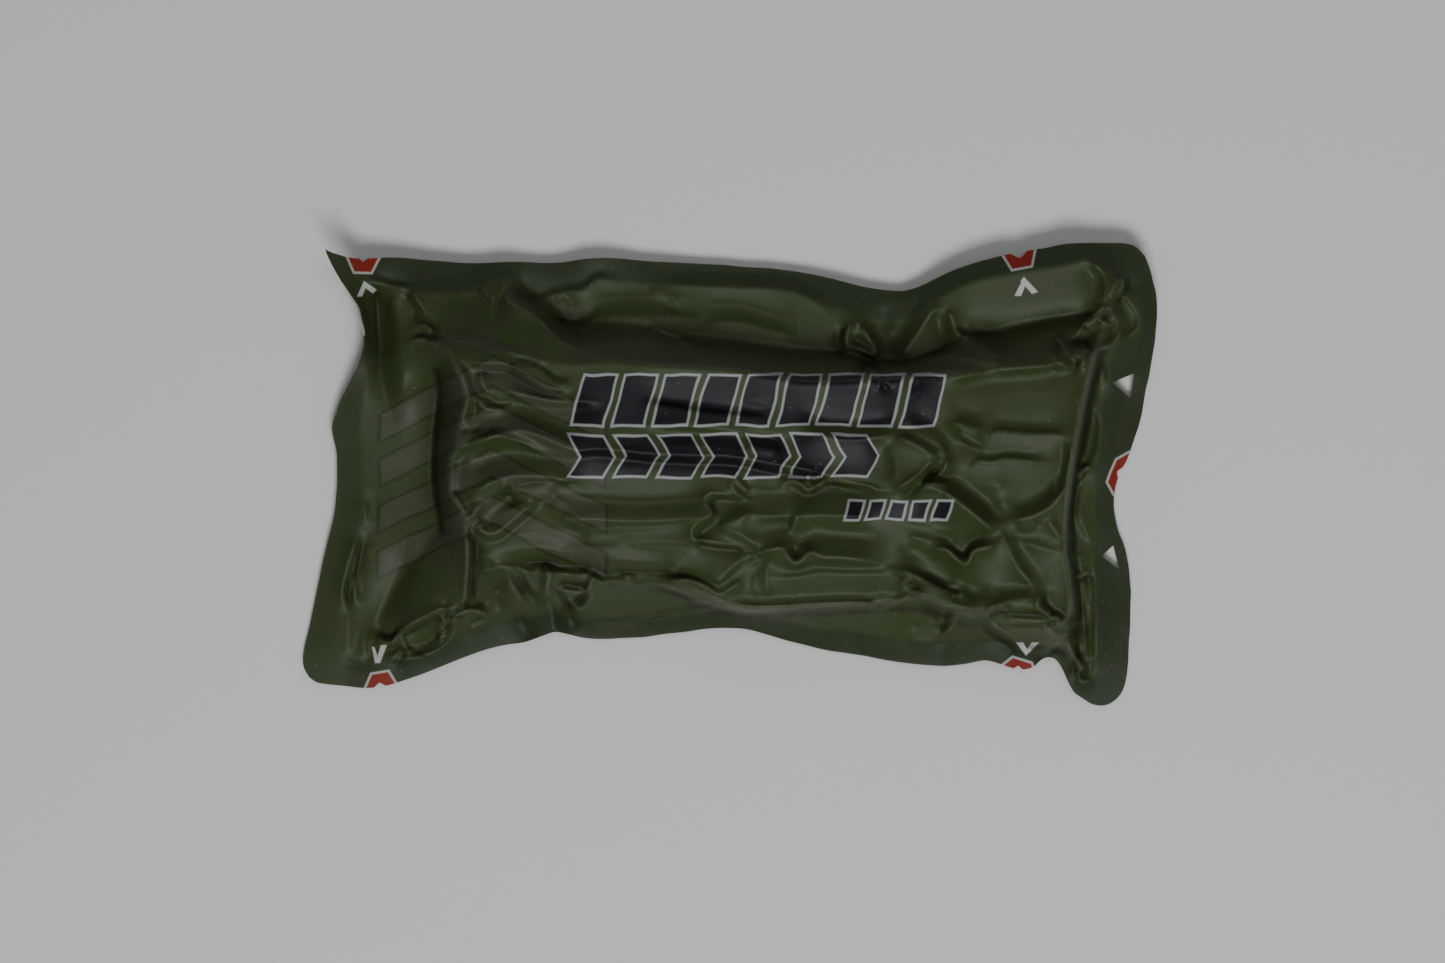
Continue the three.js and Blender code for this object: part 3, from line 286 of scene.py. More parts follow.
    (1.0, (5, 0), "m", [(361, 636), (364, 646), (367, 658)]),
    (-2.4, (0, 0), "m", [(476, 574), (486, 582), (494, 596), (506, 612)]),
    (3.4, (-5, 5), "m", [(480, 573), (490, 569), (502, 567), (514, 567), (523, 571), (528, 580), (534, 590), (545, 598)]),
    (2.6, (5, -4), "m", [(507, 574), (515, 587), (524, 597), (532, 606)]),
    (2.8, (6, 0), "m", [(545, 598), (549, 606), (552, 616), (553, 626), (555, 633)]),
    (2.0, (-6, 0), "f", [(546, 566), (549, 576), (547, 588), (548, 598)]),
    (2.4, (-1, -5), "f", [(556, 588), (566, 591), (576, 593), (585, 591), (590, 585), (592, 577)]),
    (2.0, (-5, -3), "f", [(592, 578), (593, 589), (591, 598), (586, 605), (580, 609), (573, 604), (566, 597), (560, 590)]),
    (1.2, (5, 3), "f", [(555, 592), (558, 600), (563, 607)]),
    (-2.2, (0, 0), "m", [(562, 602), (568, 616), (575, 632)]),
    (-2.0, (0, 0), "m", [(516, 612), (524, 626), (531, 640)]),
    (0.8, (0, -4), "f", [(469, 630), (477, 626), (487, 622)]),
    # crease along the lower edge of the block
    (2.6, (0, -5), "m", [(490, 567), (520, 573), (550, 573), (580, 576), (605, 582), (640, 584), (680, 589), (706, 600)]),
    (-1.8, (0, 0), "m", [(420, 545), (405, 560), (392, 590), (378, 622), (372, 645), (368, 660)]),
    (-1.9, (0, 0), "f", [(484, 556), (500, 561), (520, 563), (545, 563), (560, 566), (580, 566), (600, 572), (625, 574), (650, 572), (680, 575), (700, 579), (712, 585), (720, 591)]),
    (-1.1, (0, 0), "f", [(625, 575), (640, 581), (652, 586), (666, 590), (690, 597), (706, 601)]),
    (0.9, (0, -6), "m", [(600, 580), (630, 590), (660, 600), (690, 606)]),
    (0.8, (0, -4), "f", [(640, 622), (665, 618), (690, 613), (712, 610), (722, 606)]),
    (1.0, (0, -10), "b", [(440, 600), (425, 585), (415, 570)]),
]
# how far a fold reaches, how soft its hollow is, how many times farther off and how many times higher than charted
SIZES = {"b": (34.0, 10.0, 1.3, 2.6), "m": (24.0, 4.4, 1.7, 2.1), "f": (10.0, 2.0, 1.5, 2.6)}

# ------------------------------------------------------------------ raster of the chart

CELL = 1.25
AX, AY, BX, BY = 288.0, 230.0, 1174.0, 720.0
NX, NY = int((BX - AX) / CELL) + 1, int((BY - AY) / CELL) + 1


def route(points, step=0.6):
    """Points close together on a smooth curve through the given ones."""
    p = np.array(points, float)
    if len(p) == 2:
        n = max(2, int(np.hypot(*(p[1] - p[0])[:2]) / step) + 1)
        return p[0] + (p[1] - p[0]) * np.linspace(0, 1, n)[:, None]
    q = np.vstack([2 * p[0] - p[1], p, 2 * p[-1] - p[-2]])
    out = []
    for i in range(1, len(q) - 2):
        a, b, c, d = q[i - 1], q[i], q[i + 1], q[i + 2]
        n = max(2, int(np.hypot(*(c - b)[:2]) / step) + 1)
        t = np.linspace(0, 1, n, endpoint=False)[:, None]
        m0 = (c - a) / 2
        m1 = (d - b) / 2
        out.append((2 * t**3 - 3 * t**2 + 1) * b + (t**3 - 2 * t**2 + t) * m0 + (-2 * t**3 + 3 * t**2) * c + (t**3 - t**2) * m1)
    out.append(q[-2][None])
    return np.vstack(out)


def lay(total, count, xy, value):
    i = np.clip(np.round((xy[:, 0] - AX) / CELL).astype(int), 0, NX - 1)
    j = np.clip(np.round((xy[:, 1] - AY) / CELL).astype(int), 0, NY - 1)
    np.add.at(total, (j, i), value)
    np.add.at(count, (j, i), 1.0)


def blur(a, sigma):
    r = max(1, int(3 * sigma))
    k = np.exp(-0.5 * (np.arange(-r, r + 1) / sigma) ** 2)
    k /= k.sum()
    p = np.pad(a, ((r, r), (0, 0)), mode="edge")
    a = sum(k[n] * p[n : n + a.shape[0]] for n in range(2 * r + 1))
    p = np.pad(a, ((0, 0), (r, r)), mode="edge")
    return sum(k[n] * p[:, n : n + a.shape[1]] for n in range(2 * r + 1))


def settle(total, count, decay, sweeps=90):
    """The stretched surface through the laid lines. decay (per cell, squared) pulls it to 0 away from them."""
    pyramid = [(total, count, decay)]
    while min(pyramid[-1][0].shape) > 14:
        t, c, d = pyramid[-1]
        h, w = (t.shape[0] + 1) // 2 * 2, (t.shape[1] + 1) // 2 * 2
        t = np.pad(t, ((0, h - t.shape[0]), (0, w - t.shape[1])))
        c = np.pad(c, ((0, h - c.shape[0]), (0, w - c.shape[1])))
        pyramid.append((t.reshape(h // 2, 2, w // 2, 2).sum((1, 3)), c.reshape(h // 2, 2, w // 2, 2).sum((1, 3)), d * 4))
    z = None
    for t, c, d in reversed(pyramid):
        held = c > 0
        value = np.where(held, t / np.maximum(c, 1e-9), 0.0)
        if z is None:
            z = np.full(t.shape, value[held].mean() if decay == 0 and held.any() else 0.0)
        else:
            up = np.repeat(np.repeat(z, 2, 0), 2, 1)[: t.shape[0], : t.shape[1]]
            z = blur(up, 1.0)
        z = np.where(held, value, z)
        for _ in range(sweeps):
            p = np.pad(z, 1, mode="edge")
            z = (p[:-2, 1:-1] + p[2:, 1:-1] + p[1:-1, :-2] + p[1:-1, 2:]) / (4.0 + d)
            z = np.where(held, value, z)
    return z


# the surface is the mean of four that lie a part of a cell apart, so that slanting lines don't step
OFFSETS = CELL * np.array([(-0.375, -0.125), (-0.125, 0.375), (0.125, -0.375), (0.375, 0.125)])


def form_raster(lines, extra_rounding):
    z = np.zeros((NY, NX))
    for offset in OFFSETS:
        total, count = np.zeros((NY, NX)), np.zeros((NY, NX))
        for points in lines:
            r = route(points)
            lay(total, count, r[:, :2] + offset, r[:, 2])
        z += settle(total, count, 0.0) / len(OFFSETS)
    return blur(z, extra_rounding)


def tapered(points, height):
    r = route(points)
    run = np.r_[0, np.cumsum(np.hypot(*np.diff(r, axis=0).T))]
    ends = np.clip(np.minimum(run, run[-1] - run) / (0.22 * run[-1]), 0, 1)
    return r, height * (0.15 + 0.85 * ends * ends * (3 - 2 * ends))


def fold_raster(folds):
    z = np.zeros((NY, NX))
    for key, (reach, soft, far, gain) in SIZES.items():
        for offset in OFFSETS:
            total, count = np.zeros((NY, NX)), np.zeros((NY, NX))
            low, lows = np.zeros((NY, NX)), np.zeros((NY, NX))
            for rise, (dx, dy), size, points in folds:
                if size != key:
                    continue
                if rise > 0:
                    r, h = tapered(points, (0.5 if dx or dy else 1.0) * rise)
                    lay(total, count, r + offset, h)
                if rise < 0 or dx or dy:
                    r, h = tapered(points, 0.5 * rise if rise > 0 else -rise)
                    lay(total, count, r + offset + [far * dx, far * dy], -h)
                    lay(low, lows, r + offset + [far * dx, far * dy], 1.0)
            field = settle(total, count, (CELL / reach) ** 2)
            near = settle(low, lows, (CELL / (1.2 * soft)) ** 2, 40)
            z += gain / len(OFFSETS) * (field + np.clip(near, 0, 1) * (blur(field, soft / CELL) - field))
    return z


OUTLINE = [TOP, RIGHT, BOTTOM, LEFT]
form = form_raster(OUTLINE + [points for _, points in FORM], 1.7)
folds = blur(fold_raster(FOLDS), 0.45)
front_z = form + folds


def sample(raster, px, py):
    x = np.clip((px - AX) / CELL, 0, NX - 1.001)
    y = np.clip((py - AY) / CELL, 0, NY - 1.001)
    i, j = x.astype(int), y.astype(int)
    u, v = x - i, y - j
    return (raster[j, i] * (1 - u) + raster[j, i + 1] * u) * (1 - v) + (raster[j + 1, i] * (1 - u) + raster[j + 1, i + 1] * u) * v


# ------------------------------------------------------------------ grid over the outline


def even(points, count):
    r = route(points, 0.4)
    run = np.r_[0, np.cumsum(np.hypot(*np.diff(r[:, :2], axis=0).T))]
    at = np.linspace(0, run[-1], count + 1)
    return np.stack([np.interp(at, run, r[:, k]) for k in range(3)], 1)


def grid(nu, nv):
    b, t, l, r = even(BOTTOM, nu), even(TOP, nu), even(LEFT, nv), even(RIGHT[::-1], nv)
    u, v = np.linspace(0, 1, nu + 1)[None, :, None], np.linspace(0, 1, nv + 1)[:, None, None]
    flat = (1 - v) * b[None] + v * t[None] + (1 - u) * l[:, None] + u * r[:, None]
    flat -= (1 - u) * (1 - v) * b[0] + u * (1 - v) * b[-1] + (1 - u) * v * t[0] + u * v * t[-1]
    return flat[..., 0], flat[..., 1]


def rim_distance(px, py):
    """Distance to the outline, in chart points."""
    rim = np.vstack([route(side, 3.0)[:, :2] for side in OUTLINE])
    flat = np.stack([px.ravel(), py.ravel()], 1)
    near = np.empty(len(flat))
    for k in range(0, len(flat), 4000):
        d = flat[k : k + 4000, None] - rim[None]
        near[k : k + 4000] = np.sqrt((d**2).sum(2).min(1))
    return near.reshape(px.shape)


def soft_noise(shape, scale, seed):
    rng = np.random.default_rng(seed)
    small = rng.standard_normal((int(shape[0] / scale[1]) + 4, int(shape[1] / scale[0]) + 4))
    small = blur(small, 0.8)
    y = np.linspace(1, small.shape[0] - 3, shape[0])
    x = np.linspace(1, small.shape[1] - 3, shape[1])
    j, i = y.astype(int), x.astype(int)
    v, u = (y - j)[:, None], (x - i)[None]
    v, u = v * v * (3 - 2 * v), u * u * (3 - 2 * u)
    z = (small[j][:, i] * (1 - u) + small[j][:, i + 1] * u) * (1 - v) + (small[j + 1][:, i] * (1 - u) + small[j + 1][:, i + 1] * u) * v
    return z / z.std()


def pinched(shape, sx, sy, seed):
    """Small sharp crests with broad hollows between them."""
    z = np.random.default_rng(seed).standard_normal(shape)
    for sigma in (sy, sx):
        r = int(3 * sigma)
        k = np.exp(-0.5 * (np.arange(-r, r + 1) / sigma) ** 2)
        p = np.pad(z, ((r, r), (0, 0)), mode="edge")
        z = sum(k[n] * p[n : n + z.shape[0]] for n in range(2 * r + 1)).T
    return 0.8 - np.abs(z / z.std())


def neighbours(x):
    p = np.pad(x, ((1, 1), (1, 1), (0, 0)), mode="edge")
    return (p[:-2, 1:-1] + p[2:, 1:-1] + p[1:-1, :-2] + p[1:-1, 2:]) / 4 - x


def relax(start, slack_x, slack_y, noise, rounds, bend, hold, pinned):
    """The film finds its own small folds: it keeps its length, which is longer than the way over the charted form by slack."""
    x = start.copy()
    x[..., 2] += noise
    home = neighbours(start)
    move = np.where(pinned, 0.0, 1.0)[..., None]

    def pairs():
        for p in (0, 1):
            n = (x.shape[1] - 1 - p) // 2 * 2 + p
            yield (slice(None), slice(p, n, 2)), (slice(None), slice(p + 1, n + 1, 2)), "x"
        for p in (0, 1):
            n = (x.shape[0] - 1 - p) // 2 * 2 + p
            yield (slice(p, n, 2), slice(None)), (slice(p + 1, n + 1, 2), slice(None)), "y"
        for p in (0, 1):
            n = (x.shape[1] - 1 - p) // 2 * 2 + p
            yield (slice(0, -1), slice(p, n, 2)), (slice(1, None), slice(p + 1, n + 1, 2)), "d"
            yield (slice(1, None), slice(p, n, 2)), (slice(0, -1), slice(p + 1, n + 1, 2)), "d"

    ties = []
    for a, b, kind in pairs():
        rest = np.linalg.norm(start[b] - start[a], axis=-1)
        sx, sy = (slack_x[a] + slack_x[b]) / 2, (slack_y[a] + slack_y[b]) / 2
        rest = rest * (1 + {"x": sx, "y": sy, "d": (sx + sy) / 2}[kind])
        ties.append((a, b, rest, {"x": 0.5, "y": 0.5, "d": 0.3}[kind]))
    speed = np.zeros_like(x)
    for step in range(rounds):
        before = x.copy()
        x += speed * 0.9
        x += move * bend * (neighbours(x) - home)
        x += move * hold * (start - x)
        for a, b, rest, stiff in ties:
            d = x[b] - x[a]
            length = np.linalg.norm(d, axis=-1)
            push = (stiff * (length - rest) / np.maximum(length, 1e-6))[..., None] * d
            x[a] += push * move[a]
            x[b] -= push * move[b]
        speed = np.clip(x - before, -0.05, 0.05)
    return x


gx, gy = grid(436, 226)
gz = sample(front_z, gx, gy)
rim_gap = rim_distance(gx, gy)
mx, my = to_mm(gx, gy, gz)
start = np.stack([mx, my, gz], -1)
inside = np.clip((rim_gap - 26) / 16, 0, 1)
inside = inside * inside * (3 - 2 * inside)
noise = inside * (0.16 * soft_noise(gx.shape, (30, 11), 4) + 0.28 * pinched(gx.shape, 9.0, 4.0, 6) + 0.13 * pinched(gx.shape, 4.0, 2.2, 7))
shape = relax(start, 0.003 * inside, 0.012 * inside, noise, 24, 0.08, 0.006, rim_gap < 14)


def filled(loop):
    """1 inside a closed route, 0 outside it, on the raster."""
    p = np.vstack([route(part, 3.0)[:, :2] for part in loop])
    q = np.roll(p, -1, 0)
    out = np.zeros((NY, NX))
    xs = AX + CELL * np.arange(NX)
    for j in range(NY):
        y = AY + CELL * j
        hit = (p[:, 1] > y) != (q[:, 1] > y)
        x = p[hit, 0] + (y - p[hit, 1]) * (q[hit, 0] - p[hit, 0]) / (q[hit, 1] - p[hit, 1])
        out[j] = (x[None] > xs[:, None]).sum(1) % 2
    return out


SEAM = dict(FORM)
body = filled([SEAM["seam_top"], SEAM["seam_right"], SEAM["seam_bottom"][::-1], SEAM["seam_left"]])
# at the right end the films are stuck together up to the wall of the block
side = filled([[(1120, 338), (1108, 376), (1102, 412), (1097, 460), (1096, 520)], [(1096, 520), (1150, 520)], [(1150, 520), (1150, 338)], [(1150, 338), (1120, 338)]])
weld_raster = 1 - blur(body * (1 - 0.85 * side), 1.2)

# the cut-outs, on the chart: two hang holes and five tear notches
CUTS = [
    [(1111.7, 382.6), (1133.4, 373.5), (1134.2, 374.4), (1130.8, 397.2), (1129.8, 397.6)],
    [(1101.6, 556.0), (1112.6, 545.8), (1113.6, 546.1), (1119.2, 568.6), (1118.4, 569.0)],
    [(350.2, 250.5), (362.2, 261.4), (363.0, 261.9), (363.9, 261.4), (376.5, 250.5)],
    [(1003, 250), (1019.3, 258.2), (1020.1, 258.5), (1020.8, 257.8), (1031.5, 246)],
    [(1133, 460.2), (1117.3, 471.0), (1116.6, 472.2), (1120.9, 489), (1142, 480)],
    [(369.2, 692.3), (378.7, 683.1), (379.4, 682.6), (380.4, 683.0), (395, 690)],
    [(1008, 673), (1017.0, 666.2), (1018, 665.7), (1019.1, 666.4), (1027, 674)],
]


def open_cuts(mesh, height):
    bm = bmesh.new()
    bm.from_mesh(mesh)
    jobs = []
    for points in CUTS:
        z = float(sample(height, *np.mean(np.array(points), 0)[:, None])[0])
        corner = np.stack(to_mm(*np.array(points, float).T, z), 1) * 0.001
        jobs.append((corner, corner.mean(0)))
    middles = np.array([m for _, m in jobs])
    local = [set() for _ in jobs]
    for v in bm.verts:
        d = np.hypot(middles[:, 0] - v.co.x, middles[:, 1] - v.co.y)
        k = int(d.argmin())
        if d[k] < 0.0075:
            local[k].add(v)
    for (corner, middle), verts in zip(jobs, local):
        turn = np.sign(sum(a[0] * b[1] - a[1] * b[0] for a, b in zip(corner - middle, np.roll(corner, -1, 0) - middle)))
        planes = []
        for a, b in zip(corner, np.roll(corner, -1, 0)):
            n = turn * np.array([a[1] - b[1], b[0] - a[0]]) / np.hypot(*(b - a))
            planes.append((a, n))
        for a, n in planes:
            verts = {v for v in verts if v.is_valid}
            faces = {f for v in verts for f in v.link_faces if all(w in verts for w in f.verts)}
            edges = {e for f in faces for e in f.edges}
            got = bmesh.ops.bisect_plane(bm, geom=list(verts) + list(edges) + list(faces), dist=1e-8, plane_co=(a[0], a[1], 0), plane_no=(n[0], n[1], 0))
            verts |= {g for g in got["geom_cut"] if isinstance(g, bmesh.types.BMVert)}
        faces = {f for v in verts if v.is_valid for f in v.link_faces}
        gone = []
        for f in faces:
            c = f.calc_center_median()
            if all((c.x - a[0]) * n[0] + (c.y - a[1]) * n[1] > 0 for a, n in planes):
                gone.append(f)
        bmesh.ops.delete(bm, geom=gone, context="FACES")
    bm.to_mesh(mesh)
    bm.free()


def curled(px, py, co):
    """The film's edge at the upper left is rolled over and shows its reverse: rows of places for it."""
    rows = [j for j in range(px.shape[0]) if 281 < py[j, 0] < 337]
    steps = 7
    out = []
    for j in rows:
        edge, inner = co[j, 0], co[j, 2]
        across = inner - edge
        across = across / np.linalg.norm(across[:2])
        share = (337 - py[j, 0]) / 56.0
        wide = 1.35 * math.sin(math.pi * min(1, max(0, share)) ** 0.8) ** 0.7
        line = []
        for k in range(steps):
            a = math.pi * k / (steps - 1)
            line.append(edge + across * wide * (1 - math.cos(a)) / 2 + np.array([0, 0, 0.45 * wide * math.sin(a) + 0.12 * k / (steps - 1)]))
        out.append(line)
    return np.array(out), rows


def film_mesh(name, px, py, co, height, roll=False):
    nv, nu = px.shape
    idx = np.arange(nu * nv).reshape(nv, nu)
    quads = np.stack([idx[:-1, :-1], idx[:-1, 1:], idx[1:, 1:], idx[1:, :-1]], -1).reshape(-1, 4)
    bent = -neighbours(co)[..., 2]
    spread = blur(bent, 0.4)
    values = {
        "weld": sample(weld_raster, px, py).ravel(),
        # crease: how sharply the film bends, which the material turns into painted highlight on crests and painted
        # shade in hollows
        "crease": np.clip(spread / 0.16, -1, 1).ravel(),
        "reverse": np.zeros(nu * nv),
    }
    points, flat = co.reshape(-1, 3), np.stack([px / 1445.0, 1.0 - py / 963.0], -1).reshape(-1, 2)
    if roll:
        extra, rows = curled(px, py, co)
        n, steps = extra.shape[:2]
        new = len(points) + np.arange(n * steps).reshape(n, steps)
        quads = np.vstack([quads, np.stack([new[:-1, 1:], new[:-1, :-1], new[1:, :-1], new[1:, 1:]], -1).reshape(-1, 4)])
        points = np.vstack([points, extra.reshape(-1, 3)])
        flat = np.vstack([flat, np.repeat(flat.reshape(nv, nu, 2)[rows, 0], steps, 0)])
        values["weld"] = np.r_[values["weld"], np.zeros(n * steps)]
        values["crease"] = np.r_[values["crease"], np.zeros(n * steps)]
        values["reverse"] = np.r_[values["reverse"], np.ones(n * steps)]
    mesh = bpy.data.meshes.new(name)
    mesh.vertices.add(len(points))
    mesh.vertices.foreach_set("co", (points * 0.001).ravel().astype(np.float32))
    mesh.loops.add(quads.size)
    mesh.loops.foreach_set("vertex_index", quads.ravel().astype(np.int32))
    mesh.polygons.add(len(quads))
    mesh.polygons.foreach_set("loop_start", (np.arange(len(quads)) * 4).astype(np.int32))
    mesh.update(calc_edges=True)
    uv = mesh.uv_layers.new(name="print")
    uv.data.foreach_set("uv", flat[quads.ravel()].ravel().astype(np.float32))
    for key, value in values.items():
        mesh.attributes.new(key, "FLOAT", "POINT").data.foreach_set("value", value.astype(np.float32))
    mesh.polygons.foreach_set("use_smooth", np.ones(len(quads), bool))
    mesh.validate()
    open_cuts(mesh, height)
    obj = bpy.data.objects.new(name, mesh)
    bpy.context.scene.collection.objects.link(obj)
    return obj


front = film_mesh("pouch_front_film", gx, gy, shape, form, roll=True)
bx, by = grid(320, 166)


def back_raster():
    keep = ("seam_top", "seam_right", "seam_bottom", "seam_left", "hollow_left", "hollow_bottom_left")
    lines = OUTLINE + [points for name, points in FORM if name in keep]
    for name, points in FORM:
        if name.startswith("foot"):
            lines.append([(x, y, z * 0.85) for x, y, z in points])
    lines.append([(480, 395, 0), (560, 385, 0), (700, 385, 0), (850, 395, 0), (1000, 390, 0), (1058, 392, 0), (1052, 480, 0), (1045, 590, 0), (1000, 592, 0), (850, 578, 0), (740, 580, 0), (690, 560, 0), (560, 545, 0), (492, 535, 0), (478, 470, 0), (480, 395, 0)])
    total, count = np.zeros((NY, NX)), np.zeros((NY, NX))
    for points in lines:
        r = route(points)
        lay(total, count, r[:, :2], r[:, 2])
    return blur(settle(total, count, 0.0), 3.0)


back_z = np.maximum(np.minimum(back_raster(), blur(front_z, 1.0) - 0.3), 0.25)
bz = sample(back_z, bx, by)
bz = np.minimum(bz, sample(front_z, bx, by) - 0.25)
bz = np.maximum(bz, 0.2)
mx, my = to_mm(bx, by, bz)
back = film_mesh("pouch_back_film", bx, by, np.stack([mx, my, bz], -1), back_z)

# ------------------------------------------------------------------ folded bandage in the pouch

u, v = np.meshgrid(np.linspace(0, 1, 90), np.linspace(1, 0, 40))
core_px = (463 + 10 * v) * (1 - u) + (1083 - 22 * v) * u
core_py = (363 + 233 * v) * (1 - u) + (370 + 242 * v) * u


def lowest(a, r):
    """The lowest height within r cells of each."""
    for axis in (0, 1):
        p = np.pad(a, [(r, r) if k == axis else (0, 0) for k in (0, 1)], mode="edge")
        a = np.min([np.take(p, range(n, n + a.shape[axis]), axis) for n in range(2 * r + 1)], 0)
    return a


lift = np.clip((blur(front_z, 5.0) - back_z) / 2 - 1.6, 0.15, None)
mid = (blur(front_z, 5.0) + back_z) / 2
low = sample(mid - lift, core_px, core_py)
high = np.minimum(sample(mid + lift, core_px, core_py) - 0.8, sample(blur(lowest(front_z, 5), 1.5), core_px, core_py) - 1.8)
low = np.maximum(np.minimum(low, high - 1.0), sample(back_z, core_px, core_py) + 0.1)


def closed_block(name, px, py, low, high):
    nv, nu = px.shape
    high = np.maximum(high, low + 0.3)
    top = np.stack([*to_mm(px, py, high), high], -1).reshape(-1, 3)
    bottom = np.stack([*to_mm(px, py, low), low], -1).reshape(-1, 3)
    co = np.vstack([top, bottom]) * 0.001
    n = nu * nv
    idx = np.arange(n).reshape(nv, nu)
    quads = np.stack([idx[:-1, :-1], idx[:-1, 1:], idx[1:, 1:], idx[1:, :-1]], -1).reshape(-1, 4)
    ring = np.r_[idx[0, :-1], idx[:-1, -1], idx[-1, :0:-1], idx[:0:-1, 0]]
    # its sides show the edges of the folded layers
    out = np.stack([px.ravel()[ring] - px.mean(), py.mean() - py.ravel()[ring]], -1)
    out /= np.linalg.norm(out, axis=1, keepdims=True)
    levels, layers = 24, 6
    rows = [ring]
    for k in range(1, levels):
        t = k / levels
        inset = 0.9 * (1 - abs(math.sin(math.pi * layers * t))) + 0.8 * abs(2 * t - 1) ** 4
        side = co[ring] * (1 - t) + co[ring + n] * t
        side[:, :2] -= out * inset * 0.001
        rows.append(len(co) + np.arange(len(ring)))
        co = np.vstack([co, side])
    rows.append(ring + n)
    faces = [quads, quads[:, ::-1] + n]
    for a, b in zip(rows[:-1], rows[1:]):
        faces.append(np.stack([a, b, np.roll(b, -1), np.roll(a, -1)], -1))
    faces = np.vstack(faces)
    mesh = bpy.data.meshes.new(name)
    mesh.from_pydata(co.tolist(), [], faces.tolist())
    mesh.polygons.foreach_set("use_smooth", np.ones(len(faces), bool))
    mesh.update()
    obj = bpy.data.objects.new(name, mesh)
    bpy.context.scene.collection.objects.link(obj)
    return obj


core = closed_block("folded_bandage_block", core_px, core_py, low, high)

# ------------------------------------------------------------------ materials


class Graph:
    """A material built of nodes, with few words for each."""

    def __init__(self, name):
        self.material = bpy.data.materials.new(name)
        self.material.use_nodes = True
        self.tree = self.material.node_tree
        self.tree.nodes.clear()
        out = self.tree.nodes.new("ShaderNodeOutputMaterial")
        self.shader = self.tree.nodes.new("ShaderNodeBsdfPrincipled")
        self.tree.links.new(self.shader.outputs[0], out.inputs[0])

    def put(self, socket, value):
        if isinstance(value, bpy.types.NodeSocket):
            self.tree.links.new(value, socket)
        elif isinstance(value, tuple) and len(value) == 3 and socket.type == "RGBA":
            socket.default_value = (*value, 1)
        else:
            socket.default_value = value

    def node(self, kind, *values, **props):
        n = self.tree.nodes.new(kind)
        for key, value in props.items():
            setattr(n, key, value)
        for socket, value in zip(n.inputs, values):
            if value is not None:
                self.put(socket, value)
        return n

    def math(self, operation, a, b=None, c=None, clamp=False):
        return self.node("ShaderNodeMath", a, b, c, operation=operation, use_clamp=clamp).outputs[0]

    def dot(self, v, row):
        return self.node("ShaderNodeVectorMath", v, row, operation="DOT_PRODUCT").outputs["Value"]

    def scaled(self, v, row):
        return self.node("ShaderNodeVectorMath", v, row, operation="MULTIPLY").outputs[0]

    def mix(self, share, a, b, blend="MIX"):
        n = self.tree.nodes.new("ShaderNodeMix")
        n.data_type, n.blend_type = "RGBA", blend
        for socket, value in ((n.inputs[0], share), (n.inputs[6], a), (n.inputs[7], b)):
            self.put(socket, value)
        return n.outputs[2]

    def noise(self, v, scale, detail=2.0, rough=0.5, distort=0.0):
        n = self.tree.nodes.new("ShaderNodeTexNoise")
        for key, value in (("Vector", v), ("Scale", scale), ("Detail", detail), ("Roughness", rough), ("Distortion", distort)):
            self.put(n.inputs[key], value)
        return n.outputs[0]

    def ramp(self, value, low, high, to_low=0.0, to_high=1.0, smooth=True):
        n = self.tree.nodes.new("ShaderNodeMapRange")
        n.interpolation_type = "SMOOTHSTEP" if smooth else "LINEAR"
        for socket, v in zip(n.inputs, (value, low, high, to_low, to_high)):
            self.put(socket, v)
        return n.outputs[0]

    def attribute(self, name):
        return self.node("ShaderNodeAttribute", attribute_name=name).outputs["Fac"]

    def smallest(self, *values):
        d = values[0]
        for v in values[1:]:
            d = self.math("MINIMUM", d, v)
        return d

    def largest(self, *values):
        d = values[0]
        for v in values[1:]:
            d = self.math("MAXIMUM", d, v)
        return d

    def polygon(self, v, points):
        """Distance into a convex polygon, less than 0 outside it. v is (x, y, 1)."""
        p = np.array(points, float)
        m = p.mean(0)
        rows = []
        for a, b in zip(p, np.roll(p, -1, 0)):
            n = np.array([a[1] - b[1], b[0] - a[0]]) / np.hypot(*(b - a))
            if (m - a) @ n < 0:
                n = -n
            rows.append(self.dot(v, (float(n[0]), float(n[1]), float(-(a @ n)))))
        return self.smallest(*rows)

    def cover(self, d, soft=0.55):
        return self.math("MULTIPLY_ADD", d, 0.5 / soft, 0.5, clamp=True)


RED_MARKS = [
    [(345.4, 250.5), (354.5, 271.5), (371, 272), (382, 250.5)],
    [(998.8, 247), (1012.5, 269), (1031, 265.5), (1035.2, 244.5)],
    [(1140, 450), (1129.5, 453), (1117, 460), (1111.7, 471.7), (1108, 482), (1114.5, 494), (1140, 494)],
    [(363.4, 694.2), (372, 674.7), (388, 672), (399, 690)],
    [(1001, 667.3), (1013, 658), (1031, 663.7), (1036, 678), (1001, 678)],
]
ARROWS = [
    [(364, 281), (357, 296.5), (362, 296.5), (367.5, 283.5)],
    [(364, 281), (377, 290), (373, 293.5), (362.2, 285.6)],
    [(1024, 277), (1014.5, 296), (1021, 296), (1027.3, 281)],
    [(1024, 277), (1038, 292), (1032, 294), (1020.6, 281)],
    [(372, 647), (374.3, 647), (380, 663), (375, 663)],
    [(381, 645), (387, 645), (380, 663), (375.2, 663)],
    [(1016, 642.5), (1023, 642.5), (1029.5, 652), (1026, 655.5)],
    [(1032, 642.5), (1039, 642.5), (1026, 655.5), (1024.2, 652.6)],
]


